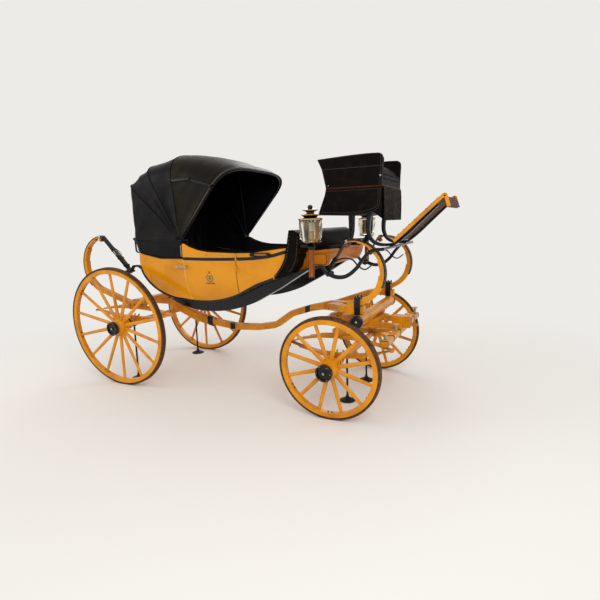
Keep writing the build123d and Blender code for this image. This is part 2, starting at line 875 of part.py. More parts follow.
# Inside the body: a bench on a riser with its cushion and squab, and a small front bench
bench_top = 1175
bench_board = 25
bench_front = 700
bench_back = 306
bench_half = 540
cushion_high = 112
cushion_half = 530
below_floor = 880
clear_hollow = hollow.part.moved(Location((0, 0, seat_gap)))
with BuildPart() as bench:
    with BuildSketch(side(0)):
        Polygon(
            at(bench_back, bench_top - bench_board),
            at(bench_front - 22, bench_top - bench_board),
            at(bench_front - 22, below_floor),
            at(bench_front, below_floor),
            at(bench_front, bench_top),
            at(bench_back, bench_top),
            align=None,
        )
    extrude(amount=bench_half, both=True)
    add(clear_hollow & widths["core"], mode=Mode.INTERSECT)

with BuildPart() as seat_cushion:
    with BuildSketch(side(0)):
        with BuildLine():
            Polyline(at(300, bench_top + seat_gap), at(bench_front + 6, bench_top + seat_gap),
                     at(bench_front + 6, bench_top + cushion_high - 30))
            ThreePointArc(at(bench_front + 6, bench_top + cushion_high - 30),
                          at(bench_front - 3, bench_top + cushion_high - 9),
                          at(bench_front - 24, bench_top + cushion_high))
            Polyline(at(bench_front - 24, bench_top + cushion_high),
                     at(300, bench_top + cushion_high - 14), at(300, bench_top + seat_gap))
        make_face()
    extrude(amount=cushion_half, both=True)

squab_half = 500
squab_foot = bench_top + cushion_high - 14.4
with BuildPart() as squab:
    with BuildSketch(side(0)):
        with BuildLine():
            Polyline(at(276, squab_foot), at(238, 1420), at(198, 1740))
            ThreePointArc(at(198, 1740), at(236, 1784), at(282, 1752))
            Polyline(at(282, 1752), at(344, 1480), at(372, squab_foot + 3.4),
                     at(276, squab_foot))
        make_face()
    extrude(amount=squab_half, both=True)
finish(squab.part, "seat_back")

front_bench_z = 1238
with BuildPart() as front_bench:
    with BuildSketch(side(0)):
        Polygon(
            at(1500, front_bench_z - 22),
            at(1500, 1000),
            at(1522, 1000),
            at(1522, front_bench_z - 22),
            at(1830, front_bench_z - 22),
            at(1830, front_bench_z),
            at(1498, front_bench_z),
            align=None,
        )
    extrude(amount=bench_half, both=True)
    add(clear_hollow, mode=Mode.INTERSECT)
    add(bench.part)
finish(front_bench.part, "benches")

with BuildPart() as cushions:
    add(seat_cushion.part)
    with BuildSketch(side(0)):
        with Locations(at(1640, front_bench_z + seat_gap + 30)):
            RectangleRounded(276, 60, 16)
    extrude(amount=cushion_half, both=True)
finish(cushions.part, "seat_cushions")

# The dash: a curved leather-covered board across the front of the body
with BuildPart() as dash:
    with BuildSketch(side(0)):
        with BuildLine():
            Polyline(*[at(*point) for point in dash_rear])
            ThreePointArc(at(*dash_rear[3]), at(1942, 1512), at(*dash_front[0]))
            Polyline(*[at(*point) for point in dash_front], at(*dash_rear[0]))
        make_face()
    extrude(amount=dash_half_wide, both=True)
finish(dash.part, "dash")

# The boot: the box under the driver's seat, with a hollow front and a black top moulding
boot_half_wide = 449
boot_moulding = 15
boot_rear = [(x + seat_gap, z) for x, z in reversed(dash_front[1:])]
with BuildPart() as boot:
    with BuildSketch(side(0)):
        with BuildLine():
            Polyline(at(1882, 1163), *[at(*point) for point in boot_rear[1:]],
                     at(1966, 1318), at(2176, 1336))
            ThreePointArc(at(2176, 1336), at(2164, 1274), at(2130, 1214))
            Polyline(at(2130, 1214), at(2005, 1205.8), at(1882, 1163))
        make_face()
    extrude(amount=boot_half_wide, both=True)
    with BuildSketch(side(0)):
        Polygon(
            at(1966, 1316),
            at(2186, 1335),
            at(2190, 1337 + boot_moulding),
            at(1968, 1318 + boot_moulding),
            align=None,
        )
    extrude(amount=boot_half_wide + 10, both=True)
finish(boot.part, "front_boot")

# Driver's seat: a flared box, open side panels with a back, and a wedge cushion
driver_half = 300
driver_panel = 24
with BuildPart() as driver_box:
    with BuildSketch(side(0)):
        Polygon(
            at(2091, 1845), at(2080, 1796), at(2015, 1630), at(2336, 1617),
            at(2500, 1640), at(2566, 1592), at(2570, 1846),
            align=None,
        )
    extrude(amount=driver_half, both=True)

driver_outline = [(2092, 1841), (2086, 1876), (2057, 2001), (2019, 2084), (2423, 2099),
                  (2557, 2092), (2581, 2058), (2570, 1842)]
with BuildPart() as driver_seat:
    with BuildSketch(side(0)):
        Polygon(*[at(*point) for point in driver_outline], align=None)
    extrude(amount=driver_half, both=True)
    with BuildSketch(side(0)):
        Polygon(
            at(2118, 1900), at(2112, 1880), at(2084, 2004), at(2046, 2130),
            at(2640, 2130), at(2640, 1900),
            align=None,
        )
    extrude(amount=driver_half - driver_panel, both=True, mode=Mode.SUBTRACT)
    add(driver_box.part)
finish(driver_seat.part, "driver_seat")

with BuildPart() as driver_cushion:
    with BuildSketch(side(0)):
        with BuildLine():
            Polyline(at(2126, 1900.3), at(2570, 1900.3), at(2576, 1990))
            ThreePointArc(at(2576, 1990), at(2566, 2010), at(2548, 2014))
            Polyline(at(2548, 2014), at(2100, 2052), at(2096, 2020), at(2126, 1900.3))
        make_face()
    extrude(amount=driver_half - driver_panel - 2, both=True)
finish(driver_cushion.part, "driver_cushion")

# Irons that carry the seat and the footboard
footboard_half = 290
footboard_thick = 30
stay_y = 240
upright_y = 262
iron_thick = 14
foot_iron_z = 1378
board_path = [(2668, 1412), (3046, 1757), (3082, 1664)]
with BuildPart() as footboard:
    with BuildSketch(side(0)):
        strip([at(*point) for point in board_path], 34, footboard_thick)
    extrude(amount=footboard_half, both=True)
finish(footboard.part, "footboard")

with BuildPart() as seat_irons:
    for word, hand in hands:
        with BuildSketch(side(hand * stay_y)):
            strip([at(2450, 1631), at(2434, 1470), at(2520, foot_iron_z), at(2664, foot_iron_z),
                   at(2990, 1676)], 46, iron_thick)
        extrude(amount=16, both=True)
        with BuildSketch(side(hand * upright_y)):
            strip([at(2303, 1618), at(2300, 1470), at(2236, 1361), at(1990, 1341)], 60, 30)
        extrude(amount=8, both=True)
    with BuildSketch(side(0)):
        Polygon(at(1960, 1317.5), at(2200, 1338), at(2200, 1353.5), at(1960, 1334.2),
                align=None)
    extrude(amount=driver_half, both=True, mode=Mode.SUBTRACT)
finish(seat_irons.part, "seat_irons")

cross_bar_radius = 12
cross_bar_z = foot_iron_z - iron_thick / 2 - cross_bar_radius - seat_gap
s_iron_y = spring_half_track + cheek_in + cheek_thick + seat_gap + 8
with BuildPart() as s_irons:
    with BuildSketch(Plane.XZ.offset(-s_iron_y - 8)):
        with Locations(at(2640, cross_bar_z)):
            Circle(cross_bar_radius)
    extrude(amount=2 * s_iron_y + 16)
    for word, hand in hands:
        with BuildSketch(side(hand * s_iron_y)):
            strip([at(2190, 1160), at(2330, 1136), at(2480, 1280), at(2560, cross_bar_z),
                   at(2650, cross_bar_z)], 50, 26)
            with Locations(at(*loop_front)):
                Circle(loop_boss + 4)
            strip([at(2226, 1236), at(2337, 1284), at(2420, 1268), at(2480, 1212),
                   at(2556, 1240)], 30, 12)
        extrude(amount=8, both=True)
finish(s_irons.part, "s_irons")

# Lamps: a turned cap and base joined by the candle, with a tube below, a bracket to the
# dash and a glass round the candle
lamp_x = 2130
lamp_y = 720
glass_outer = 90
glass_thick = 6
glass_low = 1427
glass_high = 1592
lamp_table = [
    # name, turned outline as distance from the lamp's middle line and height
    ("lamps", [
        (0, 1149), (19, 1149), (22, 1156), (22, 1364), (30, 1388), (20, 1412), (70, 1418),
        (88, glass_low),
        (13, glass_low), (13, glass_high), (90, glass_high), (86, 1604), (48, 1612), (67, 1628),
        (67, 1633), (30, 1640), (30, 1652), (57, 1664), (57, 1669), (16, 1680), (14, 1696),
        (0, 1706),
    ]),
    ("lamp_glasses", [
        (glass_outer - glass_thick, glass_low + seat_gap),
        (glass_outer, glass_low + seat_gap),
        (glass_outer, glass_high - seat_gap),
        (glass_outer - glass_thick, glass_high - seat_gap),
    ]),
]
for name, outline in lamp_table:
    with BuildPart() as lamps:
        for word, hand in hands:
            with BuildSketch(side(hand * lamp_y)):
                Polygon(*[at(lamp_x + r, z) for r, z in outline], align=None)
            revolve(axis=Axis((rear_x + lamp_x, hand * lamp_y, 0), (0, 0, 1)))
            if name == "lamps":
                with BuildSketch(Plane.XY.offset(1388)):
                    strip([(rear_x + lamp_x - 10, hand * (lamp_y - 12)),
                           (rear_x + 2060, hand * 610), (rear_x + 1975.2, hand * 600)], 20, 12)
                extrude(amount=9, both=True)
    finish(lamps.part, name)

# Hood. Four hoops turn on one pivot at each side and carry the leather. Each hoop's legs
# have their own place across the car, so that they pass each other when it folds back.
pivot = at(*hood_pivot)
bow_thick = 12
bow_half_deep = 13
bow_pitch = 18
bow_outer_y = 581
bow_corner = 92
stud_radius = 6
hood_inner_y = body_half_wide + seat_gap
hood_outer_y = hood_inner_y + hood_leather
bow_table = [
    # name, angle above forward, radius of the hoop's top, place in the stack, stud radius
    ("front", 50, 790, 0, 612),
    ("standing", 95, 788, 1, 540),
    ("second", 118, 808, 2, 0),
    ("rear", 136.5, 797, 3, 0),
]
pin_radius = 8
stud_end = hood_outer_y + 23
link_thick = 6
link_front_y = hood_outer_y + 5
link_rear_y = link_front_y + link_thick + ring_gap
link_lead = 245
link_tail = 206


def bow_stud(row):
    """The stud's place on a bow's leg, in a side drawing."""
    return turned(pivot, row[4], row[1])


for row in bow_table:
    name, angle, high, place, stud = row
    leg_y = bow_outer_y - place * bow_pitch
    lie = (cos(radians(angle)), 0, sin(radians(angle)))
    hoop_plane = Plane(origin=(pivot[0], 0, pivot[1]), x_dir=(0, 1, 0),
                       z_dir=(lie[2], 0, -lie[0]))
    top = high - bow_thick / 2
    with BuildPart() as bow:
        with BuildSketch(hoop_plane):
            strip([(-leg_y, 0), (-leg_y, top), (leg_y, top), (leg_y, 0)], bow_corner,
                  bow_thick)
        extrude(amount=bow_half_deep, both=True)
        for hand in (1, -1):
            with BuildSketch(side(hand * leg_y)):
                with Locations(pivot):
                    Circle(bow_pivot_boss)
            extrude(amount=bow_thick / 2, both=True)
            if stud:
                with BuildSketch(side(hand * leg_y)):
                    with Locations(bow_stud(row)):
                        Circle(stud_radius)
                extrude(amount=-hand * (stud_end - leg_y))
            with BuildSketch(side(hand * (leg_y - bow_thick))):
                with Locations(pivot):
                    Circle(pin_radius + arm_gap)
            extrude(amount=-hand * 2 * bow_thick, mode=Mode.SUBTRACT)
    finish(bow.part, "hood_bow_" + name)

# Pillars on the inside of the body carry the pivot pins
pillar_in = 502
pillar_plate = 10
pillar_half = 22
with BuildPart() as pillars:
    for hand in (1, -1):
        inner = hand * pillar_in
        face = hand * (pillar_in + pillar_plate)
        fixed = hand * (body_half_wide - wall - seat_gap)
        with BuildSketch(Plane(origin=(pivot[0] - pillar_half, 0, 0), x_dir=(0, 1, 0),
                               z_dir=(1, 0, 0))):
            Polygon((inner, 1200), (inner, pivot[1]), (face, pivot[1]), (face, 1272),
                    (fixed, 1272), (fixed, 1200), align=None)
        extrude(amount=2 * pillar_half - 2)
        with BuildSketch(side(inner)):
            with Locations(pivot):
                Circle(pillar_half)
        extrude(amount=-hand * pillar_plate)
        with BuildSketch(side(inner)):
            with Locations(pivot):
                Circle(pin_radius)
        extrude(amount=-hand * (body_half_wide - pillar_in))

# Joint irons outside the leather: two links from the front to the standing bow on each side
front_stud = bow_stud(bow_table[0])
rear_stud = bow_stud(bow_table[1])
stud_x = rear_stud[0] - front_stud[0]
stud_z = rear_stud[1] - front_stud[1]
stud_span = sqrt(stud_x ** 2 + stud_z ** 2)
open_angle = degrees(
    acos((link_lead ** 2 + stud_span ** 2 - link_tail ** 2) / (2 * link_lead * stud_span))
)
lead_angle = degrees(acos(stud_x / stud_span)) - open_angle
knuckle = turned(front_stud, link_lead, lead_angle)
link_table = [
    ("front", front_stud, link_front_y),
    ("rear", rear_stud, link_rear_y),
]
for name, stud, plane_y in link_table:
    with BuildPart() as links:
        for hand in (1, -1):
            with BuildSketch(side(hand * plane_y)):
                with BuildLine() as link_line:
                    Line(stud, knuckle)
                trace(link_line.line, line_width=18)
                with Locations(stud, knuckle):
                    Circle(15)
                with Locations(stud):
                    Circle(stud_radius + arm_gap, mode=Mode.SUBTRACT)
            extrude(amount=-hand * link_thick)
    finish(links.part, "hood_joint_" + name)

# The leather: a closed skin over the hoops, open in front and below, down to the body's rail
hood_front = turned(pivot, bow_table[0][2], bow_table[0][1])
roof_line = [at(1010, 2170), at(700, 2234), at(560, 2212), at(370, 2166), at(160, 2012),
             at(158, 1567), at(160, 1440)]
hood_outline = [
    (hood_front[0] + 6, hood_front[1] + 16),
    *roof_line,
    at(195, 1374.5),
    at(223.6, 1374.5), at(337, 1313.9), at(340, 1306), at(512, 1279), at(710, 1273), at(770, 1273), at(773, 1425),
    (hood_front[0] + 20, hood_front[1] - 8),
]
hood_lining = [
    (hood_front[0] + 61, hood_front[1] - 13.5),
    at(1008, 2164.6), at(699, 2228.8), at(562, 2207), at(372.6, 2161.4), at(165, 2009.4),
    at(163, 1567), at(165, 1441),
    at(204.7, 1366.6), at(204.7, 1200), at(800, 1200), at(800, 1415),
    (hood_front[0] + 61, hood_front[1] - 42),
]
hood_corner = 84
corner_facets = 5
roof_edges = 8
far = 3000
skins = {}
for name, outline, half, corner in (
    ("outside", hood_outline, hood_outer_y, hood_corner),
    ("inside", hood_lining, hood_inner_y, hood_corner - hood_leather),
):
    rounding = [
        (half - corner + corner * cos(radians(90 * step / corner_facets)),
         corner * sin(radians(90 * step / corner_facets)) - corner)
        for step in range(corner_facets + 1)
    ]
    section = [(half, -far), *rounding]
    section += [(-across, up) for across, up in reversed(section)]
    with BuildPart() as skin:
        with BuildSketch(side(0)):
            Polygon(*outline, align=None)
        extrude(amount=half, both=True)
        for front_end, rear_end in zip(outline[:roof_edges], outline[1:roof_edges + 1]):
            with BuildSketch(Plane(
                origin=(front_end[0], 0, front_end[1]),
                x_dir=(0, 1, 0),
                z_dir=(front_end[0] - rear_end[0], 0, front_end[1] - rear_end[1]),
            )):
                Polygon(*section, align=None)
            extrude(amount=far, both=True, mode=Mode.INTERSECT)
    skins[name] = skin.part

with BuildPart() as leather:
    add(skins["outside"])
    add(skins["inside"], mode=Mode.SUBTRACT)
    with BuildSketch(side(0)):
        with Locations(front_stud, rear_stud):
            Circle(stud_radius + 2)
    extrude(amount=hood_outer_y + 5, both=True, mode=Mode.SUBTRACT)
finish(leather.part, "hood_leather")

# Rests for the folded hood: a knobbed iron from each rear corner of the body
with BuildPart() as rests:
    for hand in (1, -1):
        with BuildSketch(side(hand * 500)):
            strip([at(216, 1312), at(122, 1332), at(118, 1452)], 26, 12)
        extrude(amount=6, both=True)
        with BuildSketch(side(hand * 500)):
            with Locations(at(118, 1458)):
                Circle(14)
        extrude(amount=14, both=True)
    add(outer_tub.part, mode=Mode.SUBTRACT)
    add(pillars.part)
finish(rests.part, "hood_irons")
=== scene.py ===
"""Looks of a hooded horse carriage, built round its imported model.

Places are given as in the part's own drawings: millimetres ahead of the rear axle, to the
left of the middle and above the ground. The function spot() turns them into the frame.
"""

import json
import logging
import math
from dataclasses import dataclass, field
from enum import Enum

import bmesh
import bpy
import numpy as np
from mathutils import Matrix

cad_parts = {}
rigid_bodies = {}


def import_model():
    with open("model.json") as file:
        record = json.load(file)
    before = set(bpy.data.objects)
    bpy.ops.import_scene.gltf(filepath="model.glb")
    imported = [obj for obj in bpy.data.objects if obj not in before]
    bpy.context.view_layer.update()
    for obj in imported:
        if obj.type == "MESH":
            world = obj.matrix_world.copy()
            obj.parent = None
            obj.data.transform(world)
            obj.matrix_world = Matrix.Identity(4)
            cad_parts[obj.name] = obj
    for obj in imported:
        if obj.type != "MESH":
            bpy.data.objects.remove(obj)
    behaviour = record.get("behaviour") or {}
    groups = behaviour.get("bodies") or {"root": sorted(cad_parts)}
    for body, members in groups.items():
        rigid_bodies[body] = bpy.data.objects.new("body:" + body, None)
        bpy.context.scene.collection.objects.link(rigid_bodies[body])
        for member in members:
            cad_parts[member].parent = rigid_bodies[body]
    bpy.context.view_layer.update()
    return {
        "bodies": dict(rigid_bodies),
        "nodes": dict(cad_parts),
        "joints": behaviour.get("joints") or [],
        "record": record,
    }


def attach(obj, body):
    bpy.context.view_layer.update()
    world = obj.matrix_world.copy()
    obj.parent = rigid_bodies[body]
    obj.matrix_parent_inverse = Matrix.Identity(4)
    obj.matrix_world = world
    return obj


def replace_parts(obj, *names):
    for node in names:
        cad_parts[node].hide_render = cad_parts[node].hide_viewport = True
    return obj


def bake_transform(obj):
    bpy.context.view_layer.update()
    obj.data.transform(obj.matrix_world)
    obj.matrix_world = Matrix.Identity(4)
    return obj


AXLE_BACK = 1.22685
log = logging.getLogger("carriage")
Surface = tuple[np.ndarray, np.ndarray]
Number = float | np.ndarray
Points = np.ndarray | list | tuple
Tree = bpy.types.NodeTree
Socket = bpy.types.NodeSocket
HANDS = (("left", 1.0), ("right", -1.0))


# ---- Shapes -------------------------------------------------------------------------------


def spot(ahead: Number, across: Number, up: Number) -> np.ndarray:
    """Points of the frame, in metres, from millimetres in the carriage's drawings.

    Args:
        ahead: Distance ahead of the rear axle, a number or an array.
        across: Distance to the left of the middle.
        up: Height above the ground.

    Returns:
        An array whose last axis is x, y, z.
    """
    parts = np.broadcast_arrays(
        np.asarray(ahead, float) / 1000 - AXLE_BACK,
        np.asarray(across, float) / 1000,
        np.asarray(up, float) / 1000,
    )
    return np.stack(parts, -1)


def grid(points: np.ndarray, wrap: bool = False) -> Surface:
    """The quads of a grid of points.

    Args:
        points: Rows by columns by three.
        wrap: Joins the last column to the first.

    Returns:
        Its points in one list and its faces.
    """
    rows, cols = points.shape[:2]
    row = np.arange(rows - 1)[:, None] * cols
    col = np.arange(cols if wrap else cols - 1)[None, :]
    after = (col + 1) % cols
    faces = np.stack([row + col, row + after, row + after + cols, row + col + cols], -1)
    return points.reshape(-1, 3), faces.reshape(-1, 4)


def joined(surfaces: list[Surface]) -> Surface:
    """Several surfaces as one list of points and faces.

    Args:
        surfaces: The surfaces.

    Returns:
        The one surface.
    """
    starts = np.cumsum([0] + [len(points) for points, _ in surfaces[:-1]])
    points = np.concatenate([points for points, _ in surfaces])
    faces = np.concatenate([faces + start for (_, faces), start in zip(surfaces, starts)])
    return points, faces


def unit(vectors: np.ndarray) -> np.ndarray:
    """Vectors of length one."""
    return vectors / np.maximum(np.linalg.norm(vectors, axis=-1, keepdims=True), 1e-12)


def carried(path: np.ndarray, section: np.ndarray, normal: Points, closed: bool = False,
            scale: np.ndarray | None = None) -> Surface:
    """A closed section carried along a path, with closed ends.

    Each point is the path's point plus the section's first number along the normal and its
    second along the tangent crossed with the normal.

    Args:
        path: Points along the way.
        section: Closed outline, in metres.
        normal: A direction across the path, or one for each point.
        closed: Joins the path's end to its start.
        scale: Growth of the section's second direction at each point.

    Returns:
        The surface.
    """
    grow = np.ones(len(path)) if scale is None else scale
    if closed:
        tangent = unit(np.roll(path, -1, 0) - np.roll(path, 1, 0))
    else:
        tangent = unit(np.gradient(path, axis=0))
    across = np.broadcast_to(np.asarray(normal, float), path.shape)
    other = unit(np.cross(tangent, across))
    across = unit(np.cross(other, tangent))
    rows = (
        path[:, None]
        + section[None, :, 0, None] * across[:, None]
        + section[None, :, 1, None] * grow[:, None, None] * other[:, None]
    )
    if closed:
        rows = np.concatenate([rows, rows[:1]])
    else:
        tips = [np.repeat(end[None, None], rows.shape[1], 1) for end in (path[0], path[-1])]
        rows = np.concatenate([tips[0], rows, tips[1]])
    return grid(rows, wrap=True)


def round_section(radius: float, sides: int = 10, flat: float = 1.0) -> np.ndarray:
    """A circle's outline, or an ellipse's where flat isn't 1."""
    turn = np.linspace(0, 2 * math.pi, sides, endpoint=False)
    return np.stack([radius * np.cos(turn), radius * flat * np.sin(turn)], -1)


def strap_section(wide: float, thick: float, ease: float = 0.25) -> np.ndarray:
    """A flat strap's outline, wide along the normal, with eased corners.

    Args:
        wide: Its width, in metres.
        thick: Its thickness.
        ease: How much of the thickness each corner loses.

    Returns:
        Points of the outline.
    """
    a, b, e = wide / 2, thick / 2, thick * ease
    half = np.array([(-a + e, b), (a - e, b), (a, b - e), (a, -b + e)])
    return np.concatenate([half, -half])


def tube(path: np.ndarray, radius: float, normal: Points = (0, 1, 0), sides: int = 10,
         closed: bool = False) -> Surface:
    """A round rod along a path; radius is in metres."""
    return carried(path, round_section(radius, sides), normal, closed)


def turned(profile: Points, origin: Points, axis: Points, steps: int = 40) -> Surface:
    """A profile of (distance along, radius) in millimetres, turned about an axis.

    Args:
        profile: Pairs from one end to the other.
        origin: Point on the axis, in metres.
        axis: Its direction.
        steps: Faces round it.

    Returns:
        The surface.
    """
    along, radius = np.asarray(profile, float).T / 1000
    axis = unit(np.asarray(axis, float))
    aside = unit(np.cross(axis, (0.31, 0.2, 0.93)))
    other = np.cross(axis, aside)
    turn = np.linspace(0, 2 * math.pi, steps, endpoint=False)
    circle = np.cos(turn)[:, None] * aside + np.sin(turn)[:, None] * other
    rows = (
        np.asarray(origin, float)
        + along[:, None, None] * axis
        + radius[:, None, None] * circle[None]
    )
    return grid(rows, wrap=True)


def smooth_line(points: Points, count: int) -> np.ndarray:
    """A Catmull-Rom curve through points, as an array of count points.

    Each stretch is the cubic whose ends are two points and whose slopes there are half the
    distance between the neighbours.

    Args:
        points: The points.
        count: How many points the curve gets.

    Returns:
        The curve's points.
    """
    knots = np.asarray(points, float)
    ends = np.concatenate([2 * knots[:1] - knots[1:2], knots, 2 * knots[-1:] - knots[-2:-1]])
    at = np.linspace(0, len(knots) - 1, count)
    leg = np.minimum(at.astype(int), len(knots) - 2)
    t = (at - leg)[:, None]
    a, b, c, d = (ends[leg + k] for k in range(4))
    return 0.5 * (2 * b + (c - a) * t + (2 * a - 5 * b + 4 * c - d) * t ** 2
                  + (3 * b - a - 3 * c + d) * t ** 3)


def bolt(place: Points, axis: Points, radius: float, high: float) -> Surface:
    """A domed bolt head; radius and height in millimetres.

    Args:
        place: Its foot, in metres.
        axis: The way it looks.
        radius: Radius.
        high: Height.

    Returns:
        The surface.
    """
    profile = [(-1, 0), (-1, radius), (high * 0.5, radius), (high * 0.8, radius * 0.8),
               (high, radius * 0.4), (high, 0)]
    return turned(profile, place, axis, steps=10)


def stud(ahead: float, across: float, up: float, hand: float, radius: float,
         high: float) -> Surface:
    """A domed head on one side of the carriage, looking outward."""
    return bolt(spot(ahead, hand * across, up), (0, hand, 0), radius, high)


def whole(side: np.ndarray, sign: float = 1.0) -> np.ndarray:
    """One side's numbers, then the other side's with a sign; the last one is the middle."""
    return np.concatenate([side, sign * side[..., -2::-1]], -1)


def linked(name: str, data: bpy.types.ID) -> bpy.types.Object:
    """A new object of the scene from its data.

    Args:
        name: The object's name.
        data: A mesh, a lamp or a camera.

    Returns:
        The object.
    """
    obj = bpy.data.objects.new(name, data)
    bpy.context.scene.collection.objects.link(obj)
    return obj


def make(name: str, surfaces: list[Surface], finish: "Finish", body: str,
         crease: float = 40.0) -> bpy.types.Object:
    """Makes a piece of the carriage from surfaces.

    Args:
        name: The piece's name.
        surfaces: Its parts.
        finish: Its material.
        body: The body it moves with.
        crease: Angle in degrees above which an edge is sharp.

    Returns:
        The object, at the origin.
    """
    points, faces = joined(surfaces)
    mesh = bpy.data.meshes.new(name)
    mesh.from_pydata(points.tolist(), [], faces.tolist())
    work = bmesh.new()
    work.from_mesh(mesh)
    bmesh.ops.remove_doubles(work, verts=work.verts, dist=1e-5)
    bmesh.ops.recalc_face_normals(work, faces=work.faces)
    work.to_mesh(mesh)
    work.free()
    mesh.shade_smooth()
    mesh.set_sharp_from_angle(angle=math.radians(crease))
    obj = linked(name, mesh)
    mesh.materials.append(finish.material())
    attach(obj, body)
    log.info("%s: %d faces", name, len(mesh.polygons))
    return obj


# ---- Finishes -----------------------------------------------------------------------------


class Along(Enum):
    """A direction of the frame that a painted band is measured along."""

    X = "X"
    Y = "Y"
    Z = "Z"


def linear(code: str) -> tuple[float, float, float, float]:
    """Turns an sRGB colour into a linear one, by the curve of the sRGB standard.

    Args:
        code: A hash and six hex digits.

    Returns:
        Red, green, blue and alpha.
    """
    part = np.array([int(code[i:i + 2], 16) for i in (1, 3, 5)]) / 255
    value = np.where(part <= 0.04045, part / 12.92, ((part + 0.055) / 1.055) ** 2.4)
    return (*value.tolist(), 1.0)


def add(tree: Tree, kind: str, inputs: dict, out: str | int = 0,
        **settings: str) -> Socket | None:
    """Adds a node with its settings and links.

    Args:
        tree: The node tree.
        kind: Blender's name of the node, without its first words.
        inputs: Socket names or numbers to values, or to sockets, which are linked.
        out: Name or number of the output.
        settings: Properties of the node.

    Returns:
        The output's socket, or None on a node that has none.
    """
    made = tree.nodes.new("ShaderNode" + kind)
    for key, value in settings.items():
        setattr(made, key, value)
    for key, value in inputs.items():
        if isinstance(value, Socket):
            tree.links.new(value, made.inputs[key])
        else:
            made.inputs[key].default_value = value
    return made.outputs[out] if len(made.outputs) else None


@dataclass(frozen=True)
class Band:
    """A stretch painted in a second colour, in millimetres of the carriage's drawings."""

    along: Along
    centre: float
    half: float
    mirrored: bool = False


@dataclass(frozen=True)
class Finish:
    """What every finish has: its name and how its shader is put together."""

    name: str

    def material(self) -> bpy.types.Material:
        """The finish's material, made once.

        Returns:
            The material, whose patterns lie on Object coordinates.
        """
        known = bpy.data.materials.get(self.name)
        if known:
            return known
        made = bpy.data.materials.new(self.name)
        made.use_nodes = True
        tree = made.node_tree
        tree.nodes.clear()
        place = add(tree, "TexCoord", {}, "Object")
        add(tree, "OutputMaterial", {"Surface": self.shader(tree, place)})
        return made

    def shader(self, tree: Tree, place: Socket) -> Socket:
        """Adds the finish's nodes and returns the shader's socket."""
        raise NotImplementedError


def patches(tree: Tree, place: Socket, size_mm: float, detail: float, rough: float,
            low: float, high: float, least: float = 0.0, most: float = 1.0) -> Socket:
    """Noise of a real size, stretched from one range onto another.

    Args:
        tree: The node tree.
        place: Object coordinates.
        size_mm: Width of its lumps.
        detail: Number of finer layers.
        rough: Their strength.
        low: Noise that gives the least value.
        high: Noise that gives the most.
        least: The least value.
        most: The greatest value.

    Returns:
        The value's socket.
    """
    lumps = add(tree, "TexNoise", {"Vector": place, "Scale": 1000 / size_mm,
                                   "Detail": detail, "Roughness": rough})
    return add(tree, "MapRange", {0: lumps, 1: low, 2: high, 3: least, 4: most})


def layered(tree: Tree, under: tuple | Socket, *coats: tuple[Socket, str]) -> Socket:
    """Colours laid over each other, each where its mask is one.

    Args:
        tree: The node tree.
        under: The first colour.
        coats: Masks and the colours that they let through.

    Returns:
        The colour's socket.
    """
    for mask, colour in coats:
        under = add(tree, "Mix", {0: mask, 6: under, 7: linear(colour)}, 2,
                    data_type="RGBA")
    return under


def seen_ray(tree: Tree) -> Socket:
    """Which rays see the backdrop as it is.

    Args:
        tree: The node tree.

    Returns:
        The socket of one for rays of the camera, of gloss and through glass, else nought.
    """
    seen: Socket | float = 0.0
    for word in ("Camera", "Transmission", "Glossy"):
        ray = add(tree, "LightPath", {}, f"Is {word} Ray")
        seen = add(tree, "Math", {0: seen, 1: ray}, operation="MAXIMUM")
    return seen


def band_mask(tree: Tree, place: Socket, bands: tuple[Band, ...]) -> Socket:
    """Where painted bands lie.

    Args:
        tree: The node tree.
        place: Object coordinates.
        bands: The bands.

    Returns:
        The socket of one inside any of them and nought outside.
    """
    total: Socket | float = 0.0
    for band in bands:
        value = add(tree, "SeparateXYZ", {0: place}, band.along.value)
        if band.mirrored:
            value = add(tree, "Math", {0: value}, operation="ABSOLUTE")
        centre = band.centre / 1000 - (AXLE_BACK if band.along is Along.X else 0)
        hit = add(tree, "Math", {0: value, 1: centre, 2: band.half / 1000},
                  operation="COMPARE")
        total = add(tree, "Math", {0: total, 1: hit}, operation="MAXIMUM")
    return total


def inner_mask(tree: Tree, place: Socket) -> Socket:
    """Where the body's lining lies: on faces that look at its middle, or up from its floor.

    The face's normal is multiplied with the way from the body's middle, which is negative
    inside, and the floor is what looks up below the seats' height.

    Args:
        tree: The node tree.
        place: Object coordinates.

    Returns:
        The socket of one there and nought elsewhere.
    """
    normal = add(tree, "TexCoord", {}, "Normal")
    middle, seat_high = (1.03 - AXLE_BACK, 0, 0), 1.2
    way = add(tree, "VectorMath", {0: place, 1: middle}, operation="SUBTRACT")
    way = add(tree, "VectorMath", {0: way, 1: (0.6, 1, 0)}, operation="MULTIPLY")
    facing = add(tree, "VectorMath", {0: way, 1: normal}, "Value", operation="DOT_PRODUCT")
    inside = add(tree, "Math", {0: facing, 1: -0.08}, operation="LESS_THAN")
    up, high = (add(tree, "SeparateXYZ", {0: of}, "Z") for of in (normal, place))
    upward = add(tree, "Math", {0: up, 1: 0.5}, operation="GREATER_THAN")
    low = add(tree, "Math", {0: high, 1: seat_high}, operation="LESS_THAN")
    floor = add(tree, "Math", {0: upward, 1: low}, operation="MULTIPLY")
    return add(tree, "Math", {0: inside, 1: floor}, operation="MAXIMUM")


